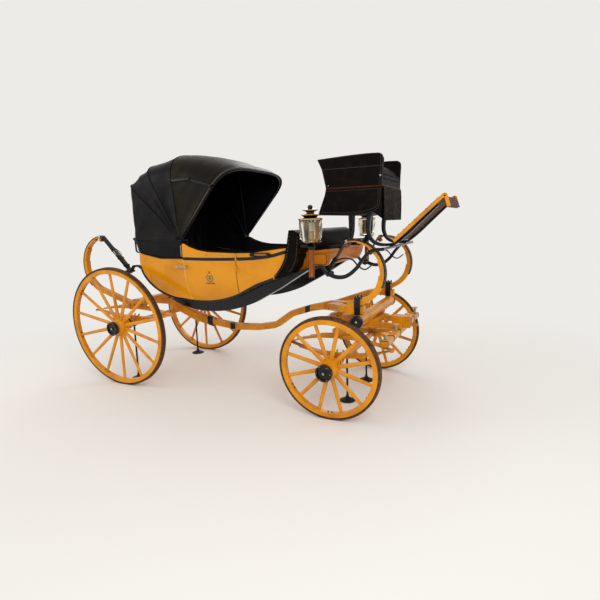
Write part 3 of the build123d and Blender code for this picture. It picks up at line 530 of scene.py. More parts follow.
@dataclass(frozen=True)
class CoachPaint(Finish):
    """Coach enamel: brushed colour coats under varnish, rubbed flat, on wood or iron.

    It is glossy with faint brush waves about 5 mm apart, it has darkened unevenly under its
    varnish, and dust dulls it in soft patches.
    """

    colour: str
    aged: str
    rough: float = 0.24
    coat: float = 0.12
    shine: float = 0.28
    patch_mm: float = 190.0
    bands: tuple[Band, ...] = ()
    band_colour: str = "#0b0a0c"
    lining: str = ""
    fleck_mm: float = 9.0
    dust_mm: float = 60.0
    brush_mm: float = 5.0

    def shader(self, tree: Tree, place: Socket) -> Socket:
        """Browning in clouds and flecks, bands and lining over it, then varnish.

        Args:
            tree: The node tree.
            place: Object coordinates.

        Returns:
            The shader's socket.
        """
        tone = layered(tree, linear(self.colour),
                       (patches(tree, place, self.patch_mm, 4, 0.6, 0.42, 0.75), self.aged),
                       (patches(tree, place, self.fleck_mm, 3, 0.65, 0.62, 0.74, 0, 0.25),
                        self.aged))
        if self.bands:
            tone = layered(tree, tone, (band_mask(tree, place, self.bands),
                                        self.band_colour))
        rough = patches(tree, place, self.dust_mm, 4, 0.6, 0.3, 0.8, self.rough * 0.8,
                        self.rough * 1.7)
        if self.lining:
            inner = inner_mask(tree, place)
            tone = layered(tree, tone, (inner, self.lining))
            dull = add(tree, "MapRange", {0: inner, 4: 0.6})
            rough = add(tree, "Math", {0: rough, 1: dull}, operation="MAXIMUM")
        brush = add(tree, "TexNoise", {"Vector": place, "Scale": 1000 / self.brush_mm,
                                       "Detail": 2})
        waves = add(tree, "Bump", {"Strength": 0.07, "Distance": 0.0006, "Height": brush})
        return add(tree, "BsdfPrincipled", {
            "Base Color": tone, "Roughness": rough, "Coat Weight": self.coat,
            "Coat Roughness": 0.12, "IOR": 1.5, "Specular IOR Level": self.shine,
            "Normal": waves})


@dataclass(frozen=True)
class BareIron(Finish):
    """Rolled wrought iron left bare: brown rust with darker scale and pale worn grit."""

    colour: str
    dark: str
    worn: str
    blotch_mm: float = 34.0
    grit_mm: float = 2.6

    def shader(self, tree: Tree, place: Socket) -> Socket:
        """Blotches of rust, with grit that is paler where it is worn.

        Args:
            tree: The node tree.
            place: Object coordinates.

        Returns:
            The shader's socket.
        """
        blotch = patches(tree, place, self.blotch_mm, 5, 0.65, 0.35, 0.68)
        grit = add(tree, "TexNoise", {"Vector": place, "Scale": 1000 / self.grit_mm,
                                      "Detail": 3, "Roughness": 0.6})
        pale = add(tree, "MapRange", {0: grit, 1: 0.6, 2: 0.75, 4: 0.6})
        tone = layered(tree, linear(self.dark), (blotch, self.colour), (pale, self.worn))
        rough = add(tree, "MapRange", {0: grit, 1: 0.2, 2: 0.8, 3: 0.55, 4: 0.85})
        bump = add(tree, "Bump", {"Strength": 0.35, "Distance": 0.0008, "Height": grit})
        return add(tree, "BsdfPrincipled", {"Base Color": tone, "Roughness": rough,
                                            "Metallic": 0.35, "Normal": bump})


@dataclass(frozen=True)
class Hide(Finish):
    """Enamelled cow hide: a fine pebbled grain, soft creases and a waxy sheen, partly painted on
    their crests.
    """

    colour: str
    # worn is the colour of the painted sheen, laid on the creases' high spots
    worn: str
    rough: float = 0.42
    crease_mm: float = 70.0
    shine: float = 0.11
    grain_mm: float = 2.4
    crease_deep_mm: float = 4.8
    blur_mm: float = 25.0

    def shader(self, tree: Tree, place: Socket) -> Socket:
        """Pebbles from cells, creases from noise, and a painted brown sheen on the high spots.

        Args:
            tree: The node tree.
            place: Object coordinates.

        Returns:
            The shader's socket.
        """
        pebble = add(tree, "TexVoronoi", {"Vector": place, "Scale": 1000 / self.grain_mm},
                     feature="SMOOTH_F1")
        crease = add(tree, "TexNoise", {"Vector": place, "Scale": 1000 / self.crease_mm,
                                        "Detail": 6, "Roughness": 0.62})
        # Painted sheen: the second colour where the creases stand highest
        high = add(tree, "MapRange", {0: crease, 1: 0.5, 2: 0.78, 4: 0.75})
        tone = layered(tree, linear(self.colour), (high, self.worn))
        fold = add(tree, "Bump", {"Strength": 0.6, "Distance": self.crease_deep_mm / 1000,
                                  "Height": crease})
        grain = add(tree, "Bump", {"Strength": 0.22, "Distance": 0.0005, "Height": pebble,
                                   "Normal": fold})
        rough = patches(tree, place, self.blur_mm, 4, 0.5, 0.3, 0.75, self.rough * 0.8,
                        self.rough * 1.35)
        return add(tree, "BsdfPrincipled", {
            "Base Color": tone, "Roughness": rough, "Specular IOR Level": self.shine,
            "Normal": grain})


@dataclass(frozen=True)
class Plate(Finish):
    """Worked bright metal, such as brass, copper or nickel silver, with tarnish."""

    colour: str
    tarnish: str
    rough: float = 0.27
    stained: float = 0.6
    cloud_mm: float = 18.0
    smear_mm: float = 6.0

    def shader(self, tree: Tree, place: Socket) -> Socket:
        """Metal with cloudy tarnish, and smears that blur its gloss.

        Args:
            tree: The node tree.
            place: Object coordinates.

        Returns:
            The shader's socket.
        """
        cloud = patches(tree, place, self.cloud_mm, 5, 0.65, 0.45, 0.75, 0, self.stained)
        rough = patches(tree, place, self.smear_mm, 3, 0.5, 0.3, 0.7, self.rough * 0.75,
                        self.rough * 1.6)
        tone = layered(tree, linear(self.colour), (cloud, self.tarnish))
        return add(tree, "BsdfPrincipled", {"Base Color": tone, "Roughness": rough,
                                            "Metallic": 1.0})


@dataclass(frozen=True)
class ClearGlass(Finish):
    """Blown lamp glass: clear, faintly grey, slightly wavy."""

    colour: str
    wave_mm: float = 15.0

    def shader(self, tree: Tree, place: Socket) -> Socket:
        """Clear glass with soft waves.

        Args:
            tree: The node tree.
            place: Object coordinates.

        Returns:
            The shader's socket.
        """
        lumps = add(tree, "TexNoise", {"Vector": place, "Scale": 1000 / self.wave_mm,
                                       "Detail": 1})
        waves = add(tree, "Bump", {"Strength": 0.15, "Distance": 0.001, "Height": lumps})
        return add(tree, "BsdfPrincipled", {
            "Base Color": linear(self.colour), "Roughness": 0.06, "IOR": 1.5,
            "Transmission Weight": 1.0, "Normal": waves})


@dataclass(frozen=True)
class Boards(Finish):
    """Planed softwood boards, stained dark, with grain along the carriage."""

    colour: str
    dark: str
    grain_mm: float = 4.0
    stretch: float = 20.0

    def shader(self, tree: Tree, place: Socket) -> Socket:
        """Grain stretched along the board.

        Args:
            tree: The node tree.
            place: Object coordinates.

        Returns:
            The shader's socket.
        """
        along = add(tree, "Mapping", {"Vector": place,
                                      "Scale": (1 / self.stretch, 1.0, 1.0)})
        grain = add(tree, "TexNoise", {"Vector": along, "Scale": 1000 / self.grain_mm,
                                       "Detail": 4, "Roughness": 0.6})
        tone = layered(tree, linear(self.dark), (grain, self.colour))
        bump = add(tree, "Bump", {"Strength": 0.2, "Distance": 0.0006, "Height": grain})
        return add(tree, "BsdfPrincipled", {"Base Color": tone, "Roughness": 0.6,
                                            "Specular IOR Level": 0.1, "Normal": bump})


@dataclass(frozen=True)
class StudioGround(Finish):
    """A plain pale floor that fades into the backdrop away from the carriage."""

    colour: str
    far: str
    fade_from_m: float = 2.3
    fade_to_m: float = 5.0

    def shader(self, tree: Tree, place: Socket) -> Socket:
        """A matt floor whose colour far off is seen as it is written.

        Args:
            tree: The node tree.
            place: Object coordinates.

        Returns:
            The shader's socket.
        """
        floor = add(tree, "BsdfPrincipled", {"Base Color": linear(self.colour),
                                             "Roughness": 0.9})
        away = add(tree, "VectorMath", {0: place}, "Value", operation="LENGTH")
        fade = add(tree, "MapRange", {0: away, 1: self.fade_from_m, 2: self.fade_to_m},
                   interpolation_type="SMOOTHSTEP")
        seen = add(tree, "Math", {0: fade, 1: seen_ray(tree)}, operation="MULTIPLY")
        plain = add(tree, "Emission", {"Color": linear(self.far)})
        return add(tree, "MixShader", {0: seen, 1: floor, 2: plain})


# Enamel brushed on ash spokes: warm yellow, browned in clouds
WHEEL_PAINT = CoachPaint("yellow_enamel_on_ash", "#df9206", "#b56d08")
# The same on forged iron: a little duller, as dust lies on it
GEAR_PAINT = CoachPaint("yellow_enamel_on_iron", "#d98f08", "#a8640b", 0.3)
# Enamel with black bands round the axle's ends, and along the perch
REAR_AXLE_PAINT = CoachPaint("yellow_enamel_rear_axle", "#d98f08", "#a8640b",
                             bands=(Band(Along.Y, 553, 7, True), Band(Along.Y, 585, 8, True)))
PERCH_PAINT = CoachPaint(
    "yellow_enamel_on_perch", "#dd9108", "#aa660b",
    bands=(Band(Along.X, 618, 34), Band(Along.X, 905, 30), Band(Along.X, 1770, 26)))
# Panels with more varnish, which mirror the room, and dark cloth as their inside
BODY_PAINT = CoachPaint("yellow_varnished_panels", "#dc8f02", "#be7404", 0.16, 0.2,
                        patch_mm=420.0, lining="#0b0b11")
# The boot's panels: the same paint, darkened to orange as painted shade of the seat, and flatter
BOOT_SHADE_PAINT = CoachPaint("yellow_boot_varnish_painted_shade", "#cf7a06", "#ac5f07", 0.25, 0.03, 0.1, 260.0)
# Black enamel on irons, its gloss faintly blue
BLACK_PAINT = CoachPaint("blue_black_enamel", "#07090f", "#0d0e12", 0.17, 0.1)
# The door's bead, painted paler as a highlight where its edge catches light
BEAD_HIGHLIGHT_PAINT = CoachPaint("yellow_bead_painted_highlight", "#f0ab3a", "#cf8a24", 0.25)
# Satin paint of the stands: no gloss
STAND_PAINT = CoachPaint("black_satin_stands", "#101010", "#1d1a17", 0.5, 0.0)
# Japan lacquer on brass caps: black, brown where it is thin
CAP_PAINT = CoachPaint("black_japan_on_brass", "#080708", "#21150d", 0.2, patch_mm=40.0)
# Lining: thin brushed lines of black, pale gold and faded brown
LINE_BLACK = CoachPaint("black_coach_lining", "#0d0b0c", "#1a1512", 0.25)
LINE_PALE = CoachPaint("pale_gold_lining", "#e2b873", "#a9742f", 0.35)
AGED_LINE = CoachPaint("brown_coach_lining", "#7a3f0c", "#5a2c0a", 0.35, 0.2)
# The emblem's paints: small strokes in muted red, green and dark green
MARK_RED = CoachPaint("red_emblem_paint", "#a8321c", "#7c2414", 0.3)
MARK_GREEN = CoachPaint("green_emblem_paint", "#2f5c4c", "#27463a", 0.3)
MARK_DARK = CoachPaint("dark_emblem_paint", "#26301f", "#1b2117", 0.3)
# Bare tyres: brown rust, paler where the road wore it
TYRE_IRON = BareIron("rusted_tyre_iron", "#6d4222", "#2f1b10", "#8b6544")
# Enamelled hides: near black, with a painted brown sheen on their folds
HOOD_HIDE = Hide("black_enamelled_hood_leather", "#0a090b", "#1f1811", 0.36, 120.0)
# The front panel's hide is tinted olive: a painted sheen of light on the hood's side
SHEEN_FRONT_HIDE = Hide("black_hood_leather_olive_painted_sheen", "#131008", "#3a2f10", 0.34, 240.0)
BOX_HIDE = Hide("black_box_leather", "#0e0b0a", "#251811", 0.45, shine=0.04)
# Cloth-like lining: finer grain, no gloss
HOOD_LINING = Hide("navy_black_hood_lining", "#0a0b10", "#14161d", 0.7, grain_mm=1.6)
# Soft seat leather, closely creased, faintly blue
SEAT_HIDE = Hide("navy_black_seat_leather", "#0d0e14", "#1c1a1c", 0.45, 45.0, 0.06)
# Waxed harness leather: brown edges, some gloss
STRAP_HIDE = Hide("waxed_brown_harness_leather", "#160d09", "#4a2a16", 0.4, 30.0)
# Thin flap leather, dry and matt
FALL_HIDE = Hide("brown_fall_leather", "#20120b", "#3b2416", 0.6, 160.0, 0.05)
# Pipings: cord under thin leather, worn to red brown, pale grey and grey
PIPING_HIDE = Hide("red_brown_piping_leather", "#42180f", "#6a2c1c", 0.45, 20.0)
EDGE_PIPING = Hide("pale_piping_leather", "#5d564f", "#857b70", 0.5, 20.0)
GREY_PIPING = Hide("grey_piping_leather", "#2f2b29", "#4a443e", 0.5, 20.0)
# Waxed linen thread: pale and matt
STITCH = Hide("pale_waxed_thread", "#8a7a5c", "#b09c78", 0.7, 8.0)
# Candle wax: cream, soft gloss
WAX = Hide("candle_wax", "#d9cfb4", "#e9e2cc", 0.5, 30.0)
# Spun brass, beaten copper, nickel silver and steel: bright, clouded with tarnish
BRASS = Plate("aged_brass", "#c9a468", "#6b4a28")
COPPER = Plate("aged_copper", "#9c5a30", "#48230f", 0.32)
NICKEL = Plate("worn_nickel_silver", "#b9b2a2", "#6d6354", 0.25, 0.4)
STEEL = Plate("white_metal_clip", "#a7a8a6", "#5e5a52", 0.3)
# Fluted glass: clear, with a warm tint
LAMP_GLASS = ClearGlass("fluted_lamp_glass", "#f4f0e4")
# Pine boards: stained under the seats, worn pale under the driver's feet
BENCH_BOARDS = Boards("stained_bench_boards", "#3a2617", "#1d120b")
FOOT_BOARDS = Boards("worn_foot_boards", "#5e3c2c", "#382218")
# A painted floor: matt and near white, without a mark
GROUND = StudioGround("pale_studio_floor", "#efede9", "#edebe8")
# The transom's paint has black ends and a black middle band
TRANSOM_PAINT = CoachPaint("yellow_enamel_on_transom", "#dd9108", "#aa660b",
                           bands=(Band(Along.Y, 536, 14, True), Band(Along.Z, 908, 76)))

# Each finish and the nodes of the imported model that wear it. A star stands for left and right.
DRESSED: tuple[tuple[Finish, str], ...] = (
    (WHEEL_PAINT, "rear_wheel_* front_wheel_*"), (TYRE_IRON, "rear_tyre_* front_tyre_*"),
    (CAP_PAINT, "rear_hub_cap_* front_hub_cap_*"), (REAR_AXLE_PAINT, "rear_axle front_axle"),
    (GEAR_PAINT, "rear_elliptic_springs front_elliptic_springs rear_c_springs "
                 "front_c_springs front_bolster fore_frame splinter_bar"),
    (PERCH_PAINT, "perch"), (TRANSOM_PAINT, "front_transom"), (STAND_PAINT, "axle_stands"),
    (STRAP_HIDE, "rear_braces front_braces"), (BODY_PAINT, "body_tub door_* door_hinges"),
    (NICKEL, "door_handle_*"), (BENCH_BOARDS, "benches"), (BOX_HIDE, "dash driver_seat"),
    (BOOT_SHADE_PAINT, "front_boot"), (FOOT_BOARDS, "footboard"),
    (BLACK_PAINT, "body_irons lamps hood_irons hood_joint_front hood_joint_rear"),
)


# ---- The hood -----------------------------------------------------------------------------


def surface_area(points: np.ndarray) -> float:
    """Area of a grid's quads, from their diagonals.

    Args:
        points: The grid.

    Returns:
        Square metres.
    """
    a = points[1:, :-1] - points[:-1, 1:]
    b = points[1:, 1:] - points[:-1, :-1]
    return float(np.linalg.norm(np.cross(a, b), axis=-1).sum() / 2)


def leather_sheet(name: str, points: np.ndarray, outside: Finish, inside: Finish,
                  thick: float, middle: np.ndarray) -> bpy.types.Object:
    """A grid of points as a thin sheet with an outside and an inside.

    Args:
        name: The piece's name.
        points: The grid.
        outside: Finish of the side away from the middle.
        inside: Finish of the other side.
        thick: Thickness in millimetres.
        middle: A point on the inner side.

    Returns:
        The object, which rides nothing yet.
    """
    surface, faces = grid(points)
    centres = surface[faces].mean(1)
    normals = np.cross(surface[faces[:, 2]] - surface[faces[:, 0]],
                       surface[faces[:, 3]] - surface[faces[:, 1]])
    if ((centres - middle) * normals).sum() < 0:
        faces = faces[:, ::-1]
    mesh = bpy.data.meshes.new(name)
    mesh.from_pydata(surface.tolist(), [], faces.tolist())
    mesh.shade_smooth()
    obj = linked(name, mesh)
    mesh.materials.append(outside.material())
    mesh.materials.append(inside.material())
    shell = obj.modifiers.new("thickness", "SOLIDIFY")
    shell.thickness = thick / 1000
    shell.offset = -1.0
    shell.material_offset = 1
    log.info("%s: %d faces", name, len(faces))
    return obj


@dataclass
class Panel:
    """One piece of the hood's leather between two bows."""

    name: str
    start: float
    end: float
    first_body: str
    second_body: str
    sag: float
    rests_on: str


@dataclass
class Hood:
    """The folding hood: leather panels sewn over four bows, and a skirt nailed to the body.

    A panel is a fan about the bows' pivot. Its angle runs from one bow to the next, and at
    each angle its section is an upside-down U: up the side, then over in a superellipse,
    whose crown lies the shoulder's height above its ends. Between the ridges it sags.
    """

    pivot: tuple[float, float] = (752.0, 1440.0)
    half: float = 593.0
    hub: float = 24.0
    thick: float = 4.0
    reach: float = 550.0
    girth: float = 2.6
    seams: float = 1.05
    rows: int = 34
    power: float = 3.5
    columns: int = 22
    # Angle, distance of the roof's middle and height of the shoulder
    arch: tuple[tuple[float, float, float], ...] = (
        (48.6, 836, 310), (56, 823, 310), (63, 813, 310), (70.5, 808, 310), (82, 803, 310),
        (95, 803, 300), (118, 828, 250), (127, 827, 190), (136.5, 815, 110), (146, 720, 100),
        (157, 653, 92), (168, 607, 84), (180, 594, 84))
    ridges: tuple[float, ...] = (48.6, 95, 118, 127, 136.5, 180)
    bows: tuple[tuple[str, float, float, float], ...] = (
        ("front", 50.0, 581, 612), ("standing", 95.0, 563, 540), ("second", 118.0, 545, 0),
        ("rear", 136.5, 527, 0))
    panels: tuple[Panel, ...] = (
        Panel("hood_panel_front", 48.6, 95.0, "hood_bow_front", "hood_bow_standing", 13,
              "hood_bow_standing"),
        Panel("hood_panel_second", 95.0, 118.0, "hood_bow_standing", "hood_bow_second", 22,
              "hood_bow_second"),
        Panel("hood_panel_third", 118.0, 136.5, "hood_bow_second", "hood_bow_rear", 14,
              "hood_bow_rear"),
        Panel("hood_panel_back", 136.5, 180.0, "hood_bow_rear", "carriage", 13,
              "hood_irons"),
    )

    def crown(self, angle: Number) -> Number:
        """Distance of the roof's middle from the pivot at each angle."""
        return np.interp(angle, *np.transpose(self.arch)[[0, 1]])

    def shoulder(self, angle: Number) -> Number:
        """How far the roof falls from its middle to where the sides begin."""
        return np.interp(angle, *np.transpose(self.arch)[[0, 2]])

    def across_fan(self, angle: float) -> tuple[float, float, float]:
        """The direction square to a bow's plane."""
        turn = math.radians(angle)
        return -math.sin(turn), 0, math.cos(turn)

    def over(self) -> np.ndarray:
        """Turns from the side to the crown at even steps along the superellipse.

        Returns:
            Turns in radians, from the side up.
        """
        fine = np.linspace(math.pi / 2, 0, 900)
        root = 2 / self.power
        step = np.hypot(np.diff(self.half * np.sin(fine) ** root),
                        np.diff(self.arch[0][2] * np.cos(fine) ** root))
        length = np.concatenate([[0], np.cumsum(step)])
        return np.interp(np.linspace(0, length[-1], self.columns), length, fine)

    def section(self, angle: np.ndarray, drop: np.ndarray) -> tuple[np.ndarray, np.ndarray]:
        """Across and outward places of the U at each row.

        Args:
            angle: The row's angle about the pivot.
            drop: How far the leather sags there, one for each row.

        Returns:
            Two arrays of rows by columns: distance to the left and from the pivot.
        """
        crown = self.crown(angle)[:, None]
        shoulder = self.shoulder(angle)[:, None]
        sag = drop[:, None]
        leg = np.linspace(0, 1, 22)
        low = self.hub + (crown - shoulder - self.hub) * leg
        side = self.half - sag * 0.55 * np.sin(math.pi * leg) ** 1.5
        turn = self.over()[1:]
        root = 2 / self.power
        roof = self.half * np.sin(turn) ** root + 0 * crown
        top = crown - shoulder * (1 - np.cos(turn) ** root) - sag * np.cos(turn) ** 0.4
        across, out = np.concatenate([side, roof], 1), np.concatenate([low, top], 1)
        return whole(across, -1), whole(out)

    def point(self, angle: Number, across: Number, out: Number) -> np.ndarray:
        """Frame points from the fan's angle in degrees and the section's two numbers.

        Args:
            angle: The angle about the pivot.
            across: Distance to the left.
            out: Distance from the pivot.

        Returns:
            Points of the frame.
        """
        turn = np.radians(angle)
        return spot(self.pivot[0] + out * np.cos(turn), across,
                    self.pivot[1] + out * np.sin(turn))

    def crease(self, points: np.ndarray, seed: float) -> np.ndarray:
        """Small soft wrinkles: three slow waves added across the leather, in metres.

        Args:
            points: The leather's points.
            seed: Shifts the waves.

        Returns:
            A height for each point.
        """
        x, y, z = points[..., 0], points[..., 1], points[..., 2]
        wave = (np.sin(23 * x + 9 * z + seed) * np.sin(17 * z - 6 * x + 2 * seed)
                + 0.6 * np.sin(41 * x - 31 * z + 7 * y + seed)
                + 0.4 * np.sin(63 * y + 22 * x + 3 * seed))
        return 0.0011 * wave

    def panel(self, spec: Panel, seed: float) -> bpy.types.Object:
        """Args:
            spec: The panel.
            seed: Shifts its wrinkles.

        Returns:
            The object.
        """
        t = np.linspace(0, 1, self.rows)
        angle = spec.start + (spec.end - spec.start) * t
        bay = np.clip(np.searchsorted(self.ridges, angle, "right") - 1, 0,
                      len(self.ridges) - 2)
        low, high = (np.array(self.ridges)[bay + k] for k in (0, 1))
        drop = spec.sag * np.abs(np.sin(math.pi * (angle - low) / (high - low)))
        across, out = self.section(angle, drop)
        inner = np.clip((out - self.hub) / 250, 0, 1)
        points = self.point(np.broadcast_to(angle[:, None], out.shape), across, out)
        shift = self.crease(points, seed) * inner * np.sin(math.pi * t)[:, None] ** 0.5
        side = np.sign(across) * (np.abs(across) > 0.86 * self.half)
        points[..., 1] += shift * side
        points[..., 2] += shift * (1 - np.abs(side))
        # The front panel takes the olive hide, whose tint is a painted sheen of light
        obj = self.skin(spec.name, points,
                        SHEEN_FRONT_HIDE if spec.first_body == "hood_bow_front" else HOOD_HIDE)
        start, end = (tuple(self.point(a, 0, self.reach)) for a in (spec.start, spec.end))
        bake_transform(obj)
        length = float(np.radians(spec.end - spec.start) * self.crown(spec.start)
                       / 1000 * self.seams)
        self.declare(points, self.girth, length)
        return obj

    def skin(self, name: str, points: np.ndarray, outside: Finish) -> bpy.types.Object:
        """A grid of points as hood leather with its lining."""
        return leather_sheet(name, points, outside, HOOD_LINING, self.thick,
                             spot(700, 0, 1500))

    def declare(self, points: np.ndarray, width: float,
                length: float) -> None:
        """Works out the length of a panel's flat cut from its own area; the result is not kept.

        Args:
            points: Its grid.
            width: The cut's width.
            length: Its length.
        """
        area = surface_area(points)
        length = max(length, 1.02 * area / width)

    def rail(self, ahead: np.ndarray) -> np.ndarray:
        """Height of the leather's lower edge along the body's rail."""
        return np.interp(ahead, (195, 224, 339, 512, 710, 773),
                         (1377, 1376, 1308, 1275, 1274, 1274))

    def skirt(self) -> None:
        """The leather below the pivot, from one front foot round the back to the other.

        Its plan is a U of half the width with rounded corners, its lower edge follows the
        body's rail and its top lies inside the panels.
        """
        corner, foot, back, rake = 80.0, 772, 163, 34
        turn = np.linspace(0, math.pi / 2, 10)[1:]
        straight = np.linspace(foot, back + corner, 30)
        half = self.half - corner
        x = whole(np.concatenate([straight, back + corner - corner * np.sin(turn),
                                  np.full(11, float(back))]))
        y = whole(np.concatenate([np.full(30, self.half), half + corner * np.cos(turn),
                                  np.linspace(half, 0, 12)[1:]]), -1)
        low = self.rail(np.maximum(x, 196)) - 20 * np.clip((340 - x) / 60, 0, 1)
        t = np.linspace(0, 1, 9)[:, None]
        z = low + (self.pivot[1] + 16 - low) * t
        lean = rake * np.clip((260 - x) / 60, 0, 1)
        points = spot(x + (1 - t) * lean, y * (1 - 0.0016 * (t > 0.7)), z)
        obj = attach(self.skin("hood_skirt", points, HOOD_HIDE), "carriage")
        self.declare(points, 2.35, 0.2)
        make("hood_skirt_piping", [tube(spot(x + lean, y * 1.0035, low + 2), 0.0032,
                                        (0, 0, 1), 8)], GREY_PIPING, "carriage")
        make("hood_nails", [stud(ahead, self.half + 0.8, self.rail(ahead) + 9, hand, 3.2, 2)
                            for _, hand in HANDS for ahead in np.arange(250, 760, 34.0)],
             GREY_PIPING, "carriage")

    def hoop_line(self, angle: float, lift: float, low: float) -> np.ndarray:
        """The line round the hood at one angle, lift millimetres outside the leather.

        Args:
            angle: The angle about the pivot.
            lift: Height over the leather.
            low: Distance from the pivot where it starts.

        Returns:
            Points of the frame.
        """
        across, out = self.section(np.array([angle]), np.array([0.0]))
        keep = out[0] > low
        across, out = across[0][keep], out[0][keep]
        grow = np.sign(across) * np.clip((np.abs(across) - 400) / 190, 0, 1) * lift
        return self.point(angle, across + grow, out + lift)

    def welts(self) -> None:
        """Sewn welts over the bows, the two lines of the front edge's band and its roll."""
        lie = ((50.6, "front", 3.4, EDGE_PIPING, "welt_front", 0.5, 120.0, 8),
               (54.6, "front", 1.8, GREY_PIPING, "welt_band", 0.5, 120.0, 8),
               (95.0, "standing", 4.0, HOOD_HIDE, "welt_standing", 0.5, 120.0, 8),
               (118.0, "second", 4.0, HOOD_HIDE, "welt_second", 0.5, 120.0, 8),
               (136.5, "rear", 4.5, HOOD_HIDE, "welt_rear", 0.5, 120.0, 8),
               (48.9, "front", 8.5, HOOD_HIDE, "front_edge", -2.0, 30.0, 12))
        for angle, bow, radius, finish, name, lift, low, sides in lie:
            make(f"hood_{name}", [tube(self.hoop_line(angle, lift, low), radius / 1000,
                                       self.across_fan(angle), sides)],
                 finish, f"hood_bow_{bow}")

    def tabs(self) -> None:
        """A pale metal tab on the skirt's front foot on each side."""
        surfaces = []
        for _, hand in HANDS:
            path = spot(763, hand * (self.half + 3), np.linspace(1296, 1398, 8))
            surfaces.append(carried(path, strap_section(0.007, 0.003), (1, 0, 0)))
            surfaces += [stud(763, self.half + 4, z, hand, 4, 3) for z in (1306, 1388)]
        make("hood_foot_tabs", surfaces, NICKEL, "carriage")

    def joints(self) -> None:
        """Domed knobs on the joint irons' studs and knuckles."""
        table = (("front", self.point(50, 0, 612), "hood_bow_front", 9, 11, 617.8),
                 ("rear", self.point(95, 0, 540), "hood_bow_standing", 9, 11, 617.8),
                 ("knuckle", spot(910.9, 0, 1979.9), "hood_joint_front", 8, 9, 612.3))
        for name, place, body, radius, high, across in table:
            make(f"hood_knobs_{name}", [bolt(place + (0, hand * across / 1000, 0),
                                             (0, hand, 0), radius, high)
                                        for _, hand in HANDS],
                 BLACK_PAINT, body)

    def hoops(self) -> None:
        """The bows: flat hoops under the leather's ridges, with their bosses and studs."""
        turn = self.over()
        root = 2 / self.power
        for name, angle, wide, lug in self.bows:
            crown = self.crown(angle) - 12
            shoulder = self.shoulder(angle)
            side = wide - 6.0
            leg = np.linspace(0, crown - shoulder, 12)[:-1]
            across = whole(np.concatenate([np.full(11, side), side * np.sin(turn) ** root]),
                           -1)
            out = whole(np.concatenate([leg,
                                        crown - shoulder * (1 - np.cos(turn) ** root)]))
            surfaces = [carried(self.point(angle, across, out), strap_section(0.026, 0.012),
                                self.across_fan(angle))]
            for _, hand in HANDS:
                surfaces.append(turned([(-6, 8), (-6, 17), (6, 17), (6, 8), (-6, 8)],
                                       spot(self.pivot[0], hand * side, self.pivot[1]),
                                       (0, hand, 0), 24))
                if lug:
                    surfaces.append(turned([(0, 0), (0, 6), (618 - wide, 6), (618 - wide, 0)],
                                           self.point(angle, hand * side, lug),
                                           (0, hand, 0), 16))
            made = make(f"bow_{name}_hoop", surfaces, BLACK_PAINT, f"hood_bow_{name}")
            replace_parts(made, f"hood_bow_{name}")

    def build(self) -> None:
        """Builds the hood."""
        made = [self.panel(spec, 1.7 * number) for number, spec in enumerate(self.panels)]
        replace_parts(made[0], "hood_leather")
        self.hoops()
        self.skirt()
        self.welts()
        self.tabs()
        self.joints()


# ---- Cushions -----------------------------------------------------------------------------


@dataclass
class Stuffing:
    """Presses a cushion's skin out from inside, with its buttons and its foot held.

    The skin is meshed anew in even squares, and runs as cloth with air pressure and no
    weight for a few frames. What it moves by is capped and blended into the mesh.
    """

    grid_mm: float = 9.0
    pressure: float = 4.0
    frames: int = 20
    most_mm: float = 9.0
    hold_mm: float = 16.0

    def mesh_of(self, obj: bpy.types.Object) -> bpy.types.Mesh:
        """The object's mesh with its modifiers, as a mesh of its own."""
        graph = bpy.context.evaluated_depsgraph_get()
        return bpy.data.meshes.new_from_object(obj.evaluated_get(graph))

    def places(self, mesh: bpy.types.Mesh) -> np.ndarray:
        """The mesh's points as an array.

        Args:
            mesh: The mesh.

        Returns:
            Points by three.
        """
        flat = np.empty(len(mesh.vertices) * 3, np.float32)
        mesh.vertices.foreach_get("co", flat)
        return flat.reshape(-1, 3).astype(float)

    def run(self, obj: bpy.types.Object, held: np.ndarray) -> None:
        """Runs the cloth on an object and keeps what it gives.

        Args:
            obj: The cushion.
            held: Places of its buttons, in metres.
        """
        skin = obj.modifiers.new("even_skin", "REMESH")
        skin.mode = "VOXEL"
        skin.voxel_size = self.grid_mm / 1000
        mesh = self.mesh_of(obj)
        obj.modifiers.remove(skin)
        before = self.places(mesh)
        near = np.full(len(before), np.inf)
        for place in held:
            near = np.minimum(near, np.linalg.norm(before - place, axis=1))
        foot = before[:, 2] < before[:, 2].min() + 0.012
        work = linked(obj.name + "_work", mesh)
        group = work.vertex_groups.new(name="held")
        group.add(np.flatnonzero(foot | (near < self.hold_mm / 1000)).tolist(), 1.0, "REPLACE")
        cloth = work.modifiers.new("air", "CLOTH").settings
        for key, value in (("quality", 5), ("mass", 0.3), ("use_pressure", True),
                           ("uniform_pressure_force", self.pressure),
                           ("vertex_group_mass", "held")):
            setattr(cloth, key, value)
        cloth.effector_weights.gravity = 0.0
        for frame in range(1, self.frames + 1):
            bpy.context.scene.frame_set(frame)
        shift = self.places(self.mesh_of(work)) - before
        far = np.maximum(np.linalg.norm(shift, axis=1, keepdims=True), 1e-9)
        limit = self.most_mm / 1000
        shift *= limit * np.tanh(far / limit) / far
        mesh.vertices.foreach_set("co", (before + shift).astype(np.float32).ravel())
        mesh.shade_smooth()
        bpy.context.scene.frame_set(1)
        bpy.data.objects.remove(work)
        for finish in obj.data.materials:
            if finish.name not in mesh.materials:
                mesh.materials.append(finish)
        obj.data = mesh
        log.info("%s: stuffed, up to %.1f mm", obj.name, 1000 * float(far.max()))


